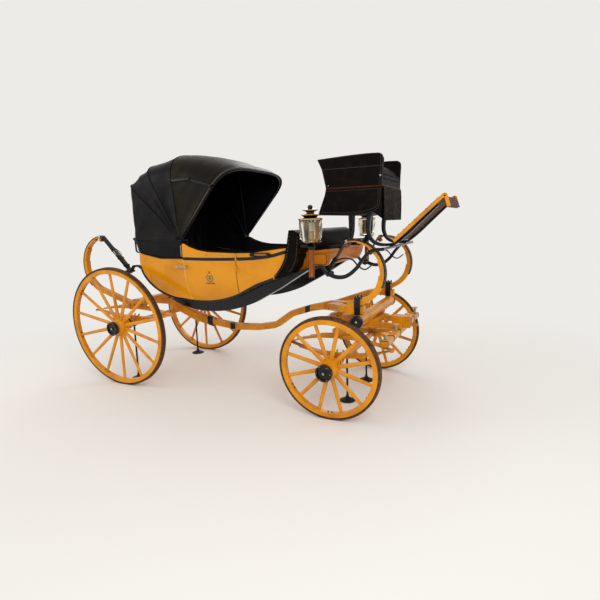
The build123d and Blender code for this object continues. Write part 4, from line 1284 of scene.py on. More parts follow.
@dataclass
class Cushion:
    """A stuffed leather cushion: a crowned closed form with pulled-in sides and a welt.

    Its plan is a rounded rectangle, its height follows a superellipse across the plan, and
    buttons or channels press it down.
    """

    name: str
    slot: str
    finish: Finish
    low: tuple[float, float, float]
    high: tuple[float, float, float]
    crown: float = 16.0
    lean: float = 0.0
    buttons: tuple[int, int] = (0, 0)
    node: str = ""

    def surface(self) -> tuple[Surface, np.ndarray, list[np.ndarray]]:
        """The cushion's skin, the line of its top welt and the places of its buttons.

        Returns:
            These three.
        """
        wide, deep = 60, 40
        across, ahead = np.meshgrid(np.linspace(-1, 1, wide), np.linspace(-1, 1, deep),
                                    indexing="ij")
        edge = np.clip(1 - np.maximum(np.abs(across), np.abs(ahead)) ** 14, 0, 1)
        centre = (np.array(self.low) + np.array(self.high)) / 2
        size = (np.array(self.high) - np.array(self.low)) / 2
        press = np.zeros_like(across)
        rows, cols = self.buttons
        knots = [(-1 + (2 * c + 1 + r % 2) / cols, -1 + (2 * r + 1) / rows)
                 for r in range(rows) for c in range(cols - r % 2)]
        for bu, bv in knots:
            near = ((across - bu) * cols) ** 2 + ((ahead - bv) * rows) ** 2
            press += np.exp(-near * 2.2)
        crown = self.crown * ((1 - across ** 4) * (1 - ahead ** 4)) ** 0.6
        lift = crown - press * self.crown * 0.75
        x = centre[0] + size[0] * ahead * (1 - 0.012 * np.cos(across * math.pi / 2) ** 2)
        y = centre[1] + size[1] * across * (1 - 0.006 * np.cos(ahead * math.pi / 2) ** 2)
        top = np.maximum(centre[2] + size[2] * (2 * edge ** 0.25 - 1) - self.crown + lift,
                         centre[2] - size[2] * 0.1)
        upper = spot(x, y, top + self.lean * ahead * size[0])
        low = spot(x, y, self.low[2])
        ring, base = self.ring(upper), self.ring(low)
        outward = unit((ring - ring.mean(0)) * (1, 1, 0))
        side = np.linspace(1, 0, 7)[:, None, None]
        walls = base + (ring - base) * side + outward * np.sin(side * math.pi) * 0.005
        skins = joined([grid(upper), grid(low[::-1]), grid(walls, wrap=True)])
        held = [upper[round((bu + 1) / 2 * (wide - 1)), round((bv + 1) / 2 * (deep - 1))]
                for bu, bv in knots]
        return skins, ring, held

    def ring(self, points: np.ndarray) -> np.ndarray:
        """The border of a grid, once round."""
        return np.concatenate([points[:, 0], points[-1, 1:], points[-2::-1, -1],
                               points[0, -2:0:-1]])

    def build(self) -> None:
        """Builds the cushion, stuffs it, and adds its welt and its buttons."""
        skins, ring, held = self.surface()
        body = "carriage"
        obj = make(self.name, [skins], self.finish, body, crease=75.0)
        Stuffing().run(obj, np.array(held).reshape(-1, 3))
        if held:
            make(f"{self.name}_buttons", [bolt(place, (0, 0, 1), 8, 5) for place in held],
                 self.finish, body)
        make(f"{self.name}_welt", [tube(ring, 0.0042, (0, 0, 1), 8, closed=True)],
             self.finish, body)
        soften = obj.modifiers.new("soften", "SUBSURF")
        soften.levels = soften.render_levels = 1
        if self.node:
            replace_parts(obj, self.node)


@dataclass
class Squab:
    """The rear seat's back: a leather pad with buttons in a diamond pattern.

    Its section follows the pad's height, and a smooth hollow round each button presses the
    front in.
    """

    half: float = 498.0
    columns: int = 8
    rows: int = 4

    def build(self) -> None:
        """Builds the pad and its buttons."""
        high, wide = 60, 150
        back, front = (smooth_line(knots, high) for knots in (
            [(277, 1279), (240, 1420), (206, 1700), (204, 1760), (236, 1782)],
            [(370, 1277), (346, 1470), (286, 1745), (262, 1776), (236, 1782)]))
        u = np.linspace(-1, 1, wide)[None]
        t = np.linspace(0, 1, high)[:, None]
        press = np.zeros((high, wide))
        places = [(-1 + (2 * column + 1 + row % 2) / self.columns,
                   (row + 0.7) / (self.rows + 0.4))
                  for row in range(self.rows) for column in range(self.columns - row % 2)]
        for across, up in places:
            aside, over = (u - across) * self.columns / 2, (t - up) * self.rows
            near = aside ** 2 + (over * 0.8) ** 2
            press = np.maximum(press, np.exp(-near * 7.0))
            for slope in (1, -1):
                line = np.abs(aside - slope * over * 1.05)
                press = np.maximum(press, 0.55 * np.exp(-(line * 7) ** 2) * (near < 1.3))
        edge = np.clip(1 - np.abs(u) ** 12, 0, 1)
        hollow = 17 * press * np.sin(np.clip(t * 1.15, 0, 1) * math.pi) ** 0.3
        x = back[:, :1] + (front[:, :1] - back[:, :1]) * edge ** 0.5 - hollow * edge
        side = u * (self.half - 6 * np.cos(t * math.pi) ** 2)
        face = spot(x, side, front[:, 1:])
        rear = spot(back[:, :1], side, back[:, 1:])
        base = np.stack([rear[0], face[0]])
        cheeks = [np.stack([rear[:, k], face[:, k]]) for k in (0, -1)]
        obj = make("squab", [grid(points) for points in (face, rear, base, *cheeks)],
                   SEAT_HIDE, "carriage", crease=80.0)
        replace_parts(obj, "seat_back")
        heads = [bolt(face[int(up * (high - 1)), int((across + 1) / 2 * (wide - 1))],
                      (1, 0, 0.25), 7, 4) for across, up in places]
        make("squab_buttons", heads, SEAT_HIDE, "carriage")


# ---- Wheels and running gear --------------------------------------------------------------


def loop_line(centre: Points, along: Points, across: Points, half_along: float,
              half_across: float, count: int = 28) -> np.ndarray:
    """A rounded rectangle of points in the plane of two directions; sizes in metres.

    Each of its two numbers is a power 0.35 of the sine or cosine, with its sign.

    Args:
        centre: Its middle.
        along: First direction.
        across: Second direction.
        half_along: Half its size along the first.
        half_across: Half its size along the second.
        count: Number of points.

    Returns:
        The points.
    """
    turn = np.linspace(0, 2 * math.pi, count, endpoint=False)
    first, second = (np.sign(f) * np.abs(f) ** 0.35 for f in (np.cos(turn), np.sin(turn)))
    return (np.asarray(centre, float)
            + half_along * first[:, None] * np.asarray(along, float)
            + half_across * second[:, None] * np.asarray(across, float))


def upright_loop(place: Points, half_long: float, half_high: float,
                 count: int = 28) -> np.ndarray:
    """A rounded rectangle seen from the side; its place and sizes in metres."""
    return loop_line(place, (1, 0, 0), (0, 0, 1), half_long, half_high, count)


@dataclass
class Wheel:
    """Dressing of one wheel: its painted lines, nuts and the middle of its cap."""

    place: str
    hand_name: str
    hand: float
    ahead: float
    radius: float
    spokes: int
    reach: float
    half_track: float = 722.5
    lean: float = math.radians(3.42)
    felloe_half: float = 21.0
    felloe_deep: float = 46.0
    tyre: float = 13.0

    def build(self) -> None:
        """Builds the wheel's rings, nuts, joints and cap nut."""
        body = f"{self.place}_wheel_{self.hand_name}"
        out = np.array([0, self.hand * math.cos(self.lean), -math.sin(self.lean)])
        hub = spot(self.ahead, self.hand * self.half_track, self.radius * math.cos(self.lean))
        rim = self.radius - self.tyre
        rings, nuts, seams = [], [], []
        for side in (1, -1):
            face = side * self.felloe_half
            edge = rim - face * math.tan(self.lean)
            lip = face + side * 0.7
            rings.append(turned([(face - side, edge - 6.5), (lip, edge - 6), (lip, edge - 0.6),
                                 (face - side, edge - 0.3), (face - side, edge - 6.5)],
                                hub, out, 96))
        for along, radius in ((-self.felloe_half - 42, 66), (self.reach - 44, 64)):
            rings.append(turned([(along - 2, radius - 8), (along - 2, radius + 1),
                                 (along + 2, radius + 1), (along + 2, radius - 8)],
                                hub, out, 64))
        ahead = np.array([1.0, 0, 0])
        lift = np.cross(out, ahead) * self.hand
        step = 2 * math.pi / self.spokes
        first = 0.0 if self.place == "rear" else math.radians(15)
        for number in range(0, self.spokes, 2):
            turn = first + (number + 0.5) * step
            ray = math.cos(turn) * ahead + math.sin(turn) * lift
            for shift in (-0.045, 0.045):
                way = unit(ray + shift * np.cross(out, ray))
                at = hub + way * (rim - self.felloe_deep + 0.5) / 1000
                nuts.append(turned([(-1, 0), (-1, 8), (6, 8), (7, 6), (7, 0)], at, -way, 6))
                seat = hub + way * (self.radius - 0.8) / 1000
                nuts.append(turned([(-1, 0), (-1, 7), (0.8, 6), (0.8, 0)], seat, way, 10))
            line = [hub + ray * r / 1000 + out * side * (self.felloe_half + 0.15) / 1000
                    for side in (1, -1) for r in (rim - 45, rim - 6)]
            seams += [carried(np.array(line[k:k + 2]), strap_section(0.0013, 0.0008), out)
                      for k in (0, 2)]
        make(f"{body}_lines", rings, LINE_BLACK, body)
        make(f"{body}_nuts", nuts, TYRE_IRON, body)
        make(f"{body}_joints", seams, AGED_LINE, body)
        tip = hub + out * (self.reach - 4) / 1000
        centre = [turned([(-1, 0), (-1, 12), (3, 12), (4, 9), (4, 5), (6, 5), (6.6, 0)],
                         tip, out, 6)]
        ring = hub + out * (self.reach - 0.5) / 1000
        for turn in np.arange(6) * math.pi / 3:
            around = math.cos(turn) * ahead + math.sin(turn) * lift
            centre.append(bolt(ring + around * 0.0575, out, 3.6, 1.1))
        make(f"{body}_cap_nut", centre, STEEL, body)


@dataclass
class Spring:
    """One C spring's places, as in the part: its centre, its end and its strap's line."""

    name: str
    centre: tuple[float, float]
    radius: float
    top: float
    way: float
    loop: tuple[float, float]
    scroll: float = 58.0
    boss: float = 14.0
    line: float = 3.8

    def on(self, centre: Points, radius: float, angle: float) -> np.ndarray:
        """A point round a centre, turned the spring's own way.

        Args:
            centre: The centre.
            radius: Distance from it.
            angle: Degrees.

        Returns:
            The point, seen from the side.
        """
        turn = math.radians(angle)
        return np.array([centre[0] + self.way * radius * math.cos(turn),
                         centre[1] + radius * math.sin(turn)])

    def curl(self) -> np.ndarray:
        """Centre of the small circle at the spring's end."""
        return self.on(self.centre, self.radius - self.scroll, self.top)

    def strap(self) -> tuple[np.ndarray, np.ndarray]:
        """Both ends of the strap's straight run, which touches two circles on one side.

        Returns:
            Two points, seen from the side.
        """
        curl, loop = self.curl(), np.array(self.loop)
        over, around = self.scroll + self.line, self.boss + self.line
        span = math.hypot(*(loop - curl))
        slope = math.degrees(math.acos(self.way * (loop - curl)[0] / span))
        slope *= 1 if loop[1] > curl[1] else -1
        off = slope + math.degrees(math.acos((over - around) / span))
        return self.on(curl, over, off), self.on(loop, around, off)


@dataclass
class RunningGear:
    """Straps, clips, nuts and bosses on the springs, the perch and the fore-carriage."""

    half: float = 480.0
    clamp: float = 2427.0
    bar: tuple[float, float] = (2670.0, 631.7)
    springs: tuple[Spring, ...] = (
        Spring("rear", (-335, 1190), 300, 100, 1, (-20, 1130)),
        Spring("front", (2385, 1165), 260, 85, -1, (2190, 1160)),
    )

    def beside(self, flat: np.ndarray, hand: float) -> np.ndarray:
        """Side-view places as points in the plane of one side's springs."""
        return spot(flat[..., 0], hand * self.half, flat[..., 1])

    def straps(self, spring: Spring) -> None:
        """A doubled strap with its buckle, tongue and keepers on each C spring's brace.

        Args:
            spring: The spring.
        """
        start, end = spring.strap()
        run = unit(end - start)
        out = np.array([-run[1], run[0]]) * spring.way
        along, away = (np.array([way[0], 0, way[1]]) for way in (run, out))
        leather, metal = [], []
        first, last = ((0.30, 0.92), (0.46, 0.80))[spring.way < 0]
        rise = 8.5 + 5.0 * np.sin(np.linspace(0, math.pi, 24)) ** 0.7
        rise[0] = rise[-1] = 6.0
        flat = start + (end - start) * np.linspace(first, last, 24)[:, None]
        for _, hand in HANDS:
            path = self.beside(flat + out * rise[:, None], hand)
            leather.append(carried(path, strap_section(0.052, 0.005), (0, 1, 0)))
            for share in (first + 0.10, first + 0.34, last - 0.06):
                middle = start + (end - start) * share + out * 5.0
                keeper = loop_line(self.beside(middle, hand), (0, 1, 0), away, 0.034, 0.0125)
                leather.append(carried(keeper, strap_section(0.016, 0.003), along,
                                       closed=True))
            place = self.beside(start + (end - start) * (first + 0.20) + out * 17.0, hand)
            buckle = loop_line(place, (0, 1, 0), along, 0.037, 0.029)
            metal.append(tube(buckle, 0.0042, away, 8, closed=True))
            metal.append(tube(np.array([place - along * 0.029, place + along * 0.030]), 0.003,
                              (0, 1, 0), 8))
        make(f"{spring.name}_brace_straps", leather, STRAP_HIDE, "carriage")
        make(f"{spring.name}_brace_buckles", metal, NICKEL, "carriage")

    def curls(self, spring: Spring) -> None:
        """A copper roller in each C's curl, and a bright clip over its end.

        Args:
            spring: The spring.
        """
        roller, clip = [], []
        middle = spring.on(spring.curl(), spring.scroll - 27, spring.top - 50)
        hold = spring.on(spring.curl(), spring.scroll - 1, spring.top - 22)
        ray = unit(hold - spring.curl())
        profile = [(-31, 0), (-31, 7), (-29, 15), (-25, 17), (25, 17), (29, 15), (31, 7),
                   (34, 5), (34, 0)]
        for _, hand in HANDS:
            roller.append(turned(profile, self.beside(middle, hand), (0, hand, 0), 24))
            rect = loop_line(self.beside(hold, hand), (0, 1, 0), (ray[0], 0, ray[1]), 0.0335,
                             0.0150)
            clip.append(carried(rect, strap_section(0.020, 0.0028), (-ray[1], 0, ray[0]),
                                closed=True))
        make(f"{spring.name}_c_rollers", roller, COPPER, "carriage")
        make(f"{spring.name}_c_clips", clip, STEEL, "carriage")

    def elliptic_clips(self, name: str, ahead: float, seat: float, high: float, half: float,
                       beam: float, body: str) -> None:
        """Two U clips with nuts round each leaf pack, and a bolt through each eye.

        Args:
            name: The springs' place.
            ahead: Their middle.
            seat: Height of the lower pack.
            high: Height of the pair.
            half: From the middle to an eye.
            beam: Height of the beam in the clips.
            body: The body they move with.
        """
        clips, nuts = [], []
        eye = seat + high / 2
        for _, hand in HANDS:
            for up in (1, -1):
                pack = eye + up * (high - 32) / 2
                low = pack - 20 - (beam if up < 0 else 0)
                top = pack + 20
                for shift in (-27, 27):
                    rect = loop_line(spot(ahead + shift, hand * self.half, (low + top) / 2),
                                     (0, 1, 0), (0, 0, 1), 0.033, (top - low) / 2000)
                    clips.append(tube(rect, 0.0055, (1, 0, 0), 8, closed=True))
                    for side in (-33, 33):
                        nuts.append(turned([(0, 0), (0, 10), (9, 10), (10, 8), (10, 5),
                                            (16, 5), (16, 0)],
                                           spot(ahead + shift, hand * self.half + side,
                                                top + 3), (0, 0, 1), 6))
            for end in (-half, half):
                for side in (-1, 1):
                    nuts.append(bolt(spot(ahead + end, hand * self.half + side * 27, eye),
                                     (0, side, 0), 13, 8))
                ring = upright_loop(spot(ahead + end, hand * self.half, eye), 0.0125, 0.0125)
                nuts.append(tube(ring, 0.003, (0, 1, 0), 6, closed=True))
        make(f"{name}_spring_clips", clips, GEAR_PAINT, body)
        make(f"{name}_spring_nuts", nuts, GEAR_PAINT, body)

    def centres(self) -> None:
        """Bright middles of the transom's caps, and nuts on the C springs' clamps."""
        bright, nuts = [], []
        for _, hand in HANDS:
            bright.append(stud(self.clamp, 547.5, 779, hand, 10, 7))
            for shift in (-15, 15):
                for side in (-34, 34):
                    nuts.append(turned([(0, 0), (0, 9), (9, 9), (10, 5), (17, 5), (17, 0)],
                                       spot(self.clamp + shift, hand * self.half + side,
                                            970.5),
                                       (0, 0, 1), 6))
        make("transom_cap_centres", bright, STEEL, "carriage")
        make("c_clamp_nuts", nuts, BLACK_PAINT, "carriage")

    def rollers(self) -> None:
        """Iron bands round the splinter bar, and worn sleeves on its roller bolts."""
        bands = []
        for across in (-592, -400, -170, 170, 400, 592):
            band = upright_loop(spot(self.bar[0], across, self.bar[1]), 0.0315, 0.0255)
            bands.append(carried(band, strap_section(0.016, 0.003), (0, 1, 0), closed=True))
        make("splinter_bar_bands", bands, BLACK_PAINT, "fore_carriage")
        worn = [turned([(7.5, 12.2), (52, 12.2), (52, 12.9), (7.5, 12.9), (7.5, 12.2)],
                       spot(self.bar[0], across, self.bar[1] + 24), (0, 0, 1), 20)
                for across in (-560, -230, 230, 560)]
        make("roller_sleeves", worn, STEEL, "fore_carriage")

    def build(self) -> None:
        """Builds all of it."""
        for spring in self.springs:
            self.straps(spring)
            self.curls(spring)
        self.elliptic_clips("rear", 0, 631.4, 148, 518, 48, "carriage")
        self.elliptic_clips("front", 2255, 457.7, 198, 450, 44, "fore_carriage")
        self.centres()
        self.rollers()


# ---- The body -----------------------------------------------------------------------------


def arc_through(first: Points, middle: Points, last: Points, count: int) -> np.ndarray:
    """Points along the circle through three points of a plane.

    Args:
        first: Its start.
        middle: A point on it.
        last: Its end.
        count: Number of points.

    Returns:
        The points.
    """
    a, b, c = (np.array(p, float) for p in (first, middle, last))
    rows = 2 * np.array([b - a, c - a])
    centre = np.linalg.solve(rows, np.array([b @ b - a @ a, c @ c - a @ a]))
    turns = np.unwrap([math.atan2(*(p - centre)[::-1]) for p in (a, b, c)])
    turn = np.linspace(turns[0], turns[2], count)
    return centre + math.hypot(*(a - centre)) * np.stack([np.cos(turn), np.sin(turn)], -1)


@dataclass
class Bodywork:
    """Mouldings, lining, emblems, the handrail and stitching on the body."""

    half: float = 590.0
    corner: float = 80.0
    rear: float = 200.0
    front: float = 1870.0
    door: tuple[float, float] = (777.0, 1353.0)
    side_arc: np.ndarray = field(
        default_factory=lambda: arc_through((515, 866), (570, 1010), (590, 1190), 60))

    def side(self, ahead: np.ndarray, up: np.ndarray) -> np.ndarray:
        """How far from the middle the body's side stands, in millimetres.

        Args:
            ahead: Distances ahead of the axle.
            up: Heights.

        Returns:
            Distances from the middle.
        """
        wide = np.interp(up, self.side_arc[:, 1], self.side_arc[:, 0])
        over = np.clip(np.maximum(ahead - (self.front - self.corner),
                                  self.rear + self.corner - ahead), 0, self.corner)
        plan = self.half - self.corner + np.sqrt(self.corner ** 2 - over ** 2)
        return np.minimum(wide, plan)

    def on_side(self, line: np.ndarray, hand: float, lift: float) -> np.ndarray:
        """Frame points of a side-view line laid on the body's side."""
        across = self.side(line[:, 0], line[:, 1]) + lift
        return spot(line[:, 0], hand * across, line[:, 1])

    def lay(self, name: str, line: np.ndarray, section: np.ndarray, lift: float,
            finish: Finish, spans: tuple[tuple[str, float, float], ...],
            normal: Points = (0, 0, 1), steps: int = 40) -> None:
        """Lays a moulding on both sides, the door's stretch on the door.

        Args:
            name: The pieces' name.
            line: Side-view line.
            section: The moulding's outline.
            lift: How far its middle stands off the side.
            finish: Its finish.
            spans: What each stretch rides, and its ends ahead of the axle.
            normal: The section's first direction.
            steps: Points in each stretch.
        """
        fixed = []
        for word, hand in HANDS:
            for body, start, end in spans:
                ahead = np.linspace(start, end, steps)
                stretch = np.stack([ahead, np.interp(ahead, *line.T)], -1)
                surface = carried(self.on_side(stretch, hand, lift), section, normal)
                if body == "door":
                    make(f"{name}_door_{word}", [surface], finish, f"door_{word}")
                else:
                    fixed.append(surface)
        make(name, fixed, finish, "carriage")

    def mouldings(self) -> None:
        """The black belt, the edge along the keel and the roll on the top edge."""
        rear, front = self.door
        ahead = np.linspace(775, 1842, 60)
        curve = smooth_line([(775, 1276), (1100, 1273), (1454, 1280), (1600, 1291),
                             (1720, 1309), (1842, 1341)], 200)
        belt = np.stack([ahead, np.interp(ahead, *curve.T)], -1)
        spans = (("door", rear + 1, front), ("carriage", front + 7, 1842))
        self.lay("belt_moulding", belt, strap_section(0.027, 0.010, 0.35), 0.5, LINE_BLACK,
                 spans)
        for shift, name in ((17, "belt_line_upper"), (-17, "belt_line_lower")):
            self.lay(name, belt + (0, shift), strap_section(0.0022, 0.002), 0.3, LINE_PALE,
                     spans)
        arcs = (((205, 1372), (241, 1202), (330, 1048)), ((330, 1048), (480, 931), (700, 879)),
                ((700, 879), (1050, 873), (1343, 950)))
        keel = np.concatenate([arc_through(*arc, 24) for arc in arcs]
                              + [np.array([(1540, 1043), (1709, 1102)])])
        self.lay("keel_moulding", keel + (0, 8), strap_section(0.024, 0.008, 0.35), 0.5,
                 LINE_BLACK,
                 (("carriage", 246, 797), ("door", 803, front), ("carriage", front + 7, 1716)))
        top = np.array([(797, 1420), (852, 1391), (946, 1361), (1054, 1344), (1345, 1334),
                        (1511, 1337), (1858, 1380)], float)
        self.lay("top_roll", top, strap_section(0.034, 0.017, 0.45), -15, BOX_HIDE,
                 (("door", 780, front - 1), ("carriage", front + 8, 1852)),
                 (0, 1, 0), 50)

    def door_beads(self) -> None:
        """A bead painted pale as a highlight down the door's rear edge, and a brown one down its
        front edge.
        """
        edges = (("rear", ((779.5, 1408), (779.5, 1265), (803.5, 886)), BEAD_HIGHLIGHT_PAINT, 0.011),
                 ("front", ((1350, 1256), (1350, 962)), AGED_LINE, 0.003))
        for word, hand in HANDS:
            for name, line, finish, wide in edges:
                fine = np.concatenate([np.linspace(line[k], line[k + 1], 24)[min(k, 1):]
                                       for k in range(len(line) - 1)])
                bead = carried(self.on_side(fine, hand, 0.3), strap_section(wide, 0.003),
                               (1, 0, 0))
                make(f"door_bead_{name}_{word}", [bead], finish, f"door_{word}")

    def mark(self, ahead: float, up: float, wide: float, high: float, turn: float,
             hand: float, over: float = 0.0) -> Surface:
        """A small painted oval laid on the body's side, or over another by over mm.

        Args:
            ahead: Its middle.
            up: Its middle's height.
            wide: Its length.
            high: Its width.
            turn: Its turn in radians.
            hand: Left or right.
            over: Height over the paint.

        Returns:
            The surface.
        """
        around = np.linspace(0, 2 * math.pi, 18, endpoint=False)
        share = np.array([0.0, 0.5, 1.0, 1.0])[:, None]
        first = share * wide / 2 * np.cos(around)
        second = share * high / 2 * np.sin(around)
        x = ahead + first * math.cos(turn) - second * math.sin(turn)
        z = up + first * math.sin(turn) + second * math.cos(turn)
        lift = over + np.array([0.45, 0.45, 0.35, -0.5])[:, None]
        return grid(spot(x, hand * (self.side(x, z) + lift), z), wrap=True)

    def emblem(self) -> None:
        """A wreath of leaves round a shield, a flower over it and a ribbon, on each door.

        The leaves stand in pairs, mirrored left and right, and the ribbon is a cosine.
        """
        ahead, up = 1062.0, 1104.0
        for word, hand in HANDS:
            leaves = []
            for number in range(6):
                turn = math.radians(-78 + number * 25)
                for way in (1, -1):
                    leaves.append(self.mark(ahead + way * 33 * math.cos(turn),
                                            up + 33 * math.sin(turn), 19, 8,
                                            way * (turn + math.pi / 2 - 0.45), hand))
            leaves.append(self.mark(ahead, up + 2, 30, 42, 0, hand))
            petals = [self.mark(ahead + 8 * math.cos(turn), up + 50 + 8 * math.sin(turn),
                                13, 9, turn, hand)
                      for turn in np.radians(90 + 72 * np.arange(5))]
            petals += [self.mark(1043 + shift, 1308 + 4 * (shift == 0), 6, 9, -shift / 20,
                                 hand) for shift in (-9, 0, 9)]
            heart = [self.mark(ahead + aside, up + over, wide, high, 0, hand, 0.4)
                     for aside, over, wide, high in ((0, 50, 7, 7), (-7, 6, 6, 10),
                                                     (7, 6, 6, 10), (0, -9, 6, 8))]
            line = np.linspace(-50, 50, 40)
            curve = np.stack([ahead + line, up - 50 + 4.5 * np.cos(line / 50 * 3 * math.pi)],
                             -1)
            ribbon = [carried(self.on_side(curve, hand, 0.1), strap_section(0.007, 0.001),
                              (0, 0, 1))]
            for name, parts, finish in (
                    ("leaves", leaves, MARK_GREEN), ("petals", petals, MARK_RED),
                    ("heart", heart, LINE_PALE), ("ribbon", ribbon, MARK_DARK)):
                make(f"emblem_{name}_{word}", parts, finish, f"door_{word}")

    def rail(self) -> None:
        """The black handrail on each front quarter, standing on two posts."""
        surfaces = []
        for _, hand in HANDS:
            bar = upright_loop(spot(1604, hand * (self.half + 15), 1318), 0.095, 0.0125, 48)
            surfaces.append(tube(bar, 0.0052, (0, 1, 0), 10, closed=True))
            for ahead in (1528, 1680):
                foot = spot(ahead, hand * (self.half - 2), 1318)
                surfaces.append(turned([(0, 0), (0, 13), (3, 12), (5, 6), (17, 6), (21, 10),
                                        (22, 0)], foot, (0, hand, 0), 16))
                surfaces.append(tube(spot(ahead, hand * (self.half + 15),
                                          np.linspace(1307, 1329, 6)), 0.0045, (0, 1, 0), 8))
        make("hand_rails", surfaces, BLACK_PAINT, "carriage")

    def dash_stitching(self) -> None:
        """Two rows of stitches near the dash's edges, and a bead round its border."""
        rear = np.array([(1751, 1130), (1803, 1191), (1861, 1295), (1901, 1500)])
        front = np.array([(1969, 1468), (1949, 1296), (1913, 1213), (1872, 1172)])
        threads, beads = [], []
        for _, hand in HANDS:
            for line in (rear, front):
                threads += self.stitches(smooth_line(line, 46), hand * 620.3, 44)
            ring = np.concatenate([smooth_line(rear, 30) + (-9, 4),
                                   smooth_line(front, 30) + (9, -4)])
            path = spot(ring[:, 0], hand * 619.5, ring[:, 1])
            beads.append(tube(path, 0.004, (0, 1, 0), 8, closed=True))
        curve = smooth_line([(1975, 1462), (1956.5, 1296), (1917, 1208)], 24) + (3, 0)
        for inset in (22, 30):
            for _, hand in HANDS:
                threads += self.stitches(curve, hand * (620 - inset), 22)
        make("dash_stitches", threads, STITCH, "carriage")
        make("dash_beads", beads, BOX_HIDE, "carriage")

    def stitches(self, curve: np.ndarray, across: float, last: int) -> list[Surface]:
        """Short threads on every other stretch of a side-view curve, up to the last one."""
        path = spot(curve[:, 0], across, curve[:, 1])
        return [tube(path[k:k + 2], 0.0011, (0, 1, 0), 5) for k in range(0, last, 2)]

    def boot_ribs(self) -> None:
        """Upright half-round ribs near the dash on both sides of the front boot."""
        surfaces, panels = [], []
        for _, hand in HANDS:
            for ahead in (1930, 1954, 1978, 2002):
                low = np.interp(ahead, (1882, 2005, 2130), (1163, 1206, 1214))
                line = spot(ahead + np.linspace(-14, 0, 20), hand * 449,
                            np.linspace(low + 2, 1316, 20))
                surfaces.append(carried(line, round_section(0.010, 14, 0.8), (1, 0, 0)))
            line = upright_loop(spot(2088, hand * 449.3, 1270), 0.058, 0.044, 48)
            panels.append(tube(line, 0.0022, (0, 1, 0), 8, closed=True))
        # The ribs wear the boot's paint, darkened as painted shade
        make("boot_ribs", surfaces, BOOT_SHADE_PAINT, "carriage")
        make("boot_lines", panels, LINE_BLACK, "carriage")

    def bolts(self) -> None:
        """Bolt heads along the body's irons and on the loops' cheeks."""
        irons = ((1540, 968), (1640, 1022), (1740, 1075), (1850, 1130), (1950, 1180),
                 (700, 842), (820, 828), (960, 822), (1100, 826), (1240, 850), (1380, 900))
        cheeks = ((-20, 519, 1130), (14, 519.3, 1133), (2190, 519.3, 1160),
                  (2156, 519.3, 1163))
        heads = []
        for _, hand in HANDS:
            heads += [stud(ahead, 512, up, hand, 9, 5) for ahead, up in irons]
            heads += [stud(*place, hand, 10, 6) for place in cheeks]
        make("iron_bolts", heads, BLACK_PAINT, "carriage")

    def build(self) -> None:
        """Builds all of it."""
        self.mouldings()
        self.door_beads()
        self.emblem()
        self.rail()
        self.dash_stitching()
        self.boot_ribs()
        self.bolts()


# ---- The driver's place and the lamps -----------------------------------------------------


@dataclass
class DriverSeat:
    """Welts, piping, inset lines, the leather fall and studs of the driver's seat."""

    half: float = 300.0

    def cord(self, ahead: Number, up: Number, hand: float, radius: float,
             sides: int = 8) -> Surface:
        """A round cord along places on the box's side."""
        return tube(spot(ahead, hand * (self.half + 1), up), radius, (0, 1, 0), sides)

    def lines(self) -> None:
        """Piping where the side panels meet the box, and the welts above and below it."""
        piping, welts = [], []
        border = smooth_line([(2021, 2082), (2240, 2093), (2423, 2098), (2520, 2096),
                              (2556, 2090), (2577, 2060), (2573, 1960), (2569, 1850)], 60)
        upright = np.linspace(1852, 2078, 20)
        side = np.interp(upright, (1852, 2078), (2551, 2560))
        for _, hand in HANDS:
            piping.append(self.cord(np.linspace(2093, 2568, 30), 1845, hand, 0.0072, 10))
            welts += [self.cord(np.linspace(2058, 2574, 30), 2001, hand, 0.0035),
                      self.cord(np.linspace(2088, 2564, 30), 1824, hand, 0.0026),
                      self.cord(*border.T, hand, 0.0042),
                      self.cord(side, upright, hand, 0.0026)]
            for inset in (0, 17):
                frame = smooth_line([(2034 + inset * 0.6, 1637 + inset), (2336, 1625 + inset),
                                     (2492 - inset, 1648 + inset), (2546 - inset, 1700),
                                     (2556 - inset, 1822)], 70)
                welts.append(self.cord(*frame.T, hand, 0.0026))
        piping.append(tube(spot(2573, np.linspace(-self.half, self.half, 24), 1846), 0.0066,
                           (1, 0, 0), 10))
        make("driver_piping", piping, PIPING_HIDE, "carriage")
        make("driver_welts", welts, GREY_PIPING, "carriage")

    def fall(self) -> None:
        """The leather fall that hangs before the box, wavy towards its lower edge."""
        across, down = np.meshgrid(np.linspace(-1, 1, 60), np.linspace(0, 1, 24),
                                   indexing="ij")
        wave = (3 * np.sin(across * 6 + 0.6) * down ** 1.3
                + np.sin(across * 13) * down ** 2)
        x = 2581 + 4 * np.sin(down * math.pi) + wave
        points = spot(x, across * 296, 1838 - 262 * down)
        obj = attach(leather_sheet("driver_fall", points, FALL_HIDE, FALL_HIDE, 3.0,
                                    spot(2300, 0, 1700)), "carriage")
        make("fall_binding", [tube(points[:, -1], 0.0035, (1, 0, 0), 8)]
             + [tube(points[end], 0.003, (0, 1, 0), 8) for end in (0, -1)], BOX_HIDE,
             "carriage")

    def studs(self) -> None:
        """Nickel studs at the seat's corners."""
        heads = [stud(ahead, self.half + 0.5, up, hand, size, size * 0.8)
                 for _, hand in HANDS for ahead, up, size in ((2556, 1925, 9),
                                                              (2112, 1868, 5))]
        make("driver_studs", heads, STEEL, "carriage")

    def build(self) -> None:
        """Builds all of it."""
        self.lines()
        self.fall()
        self.studs()


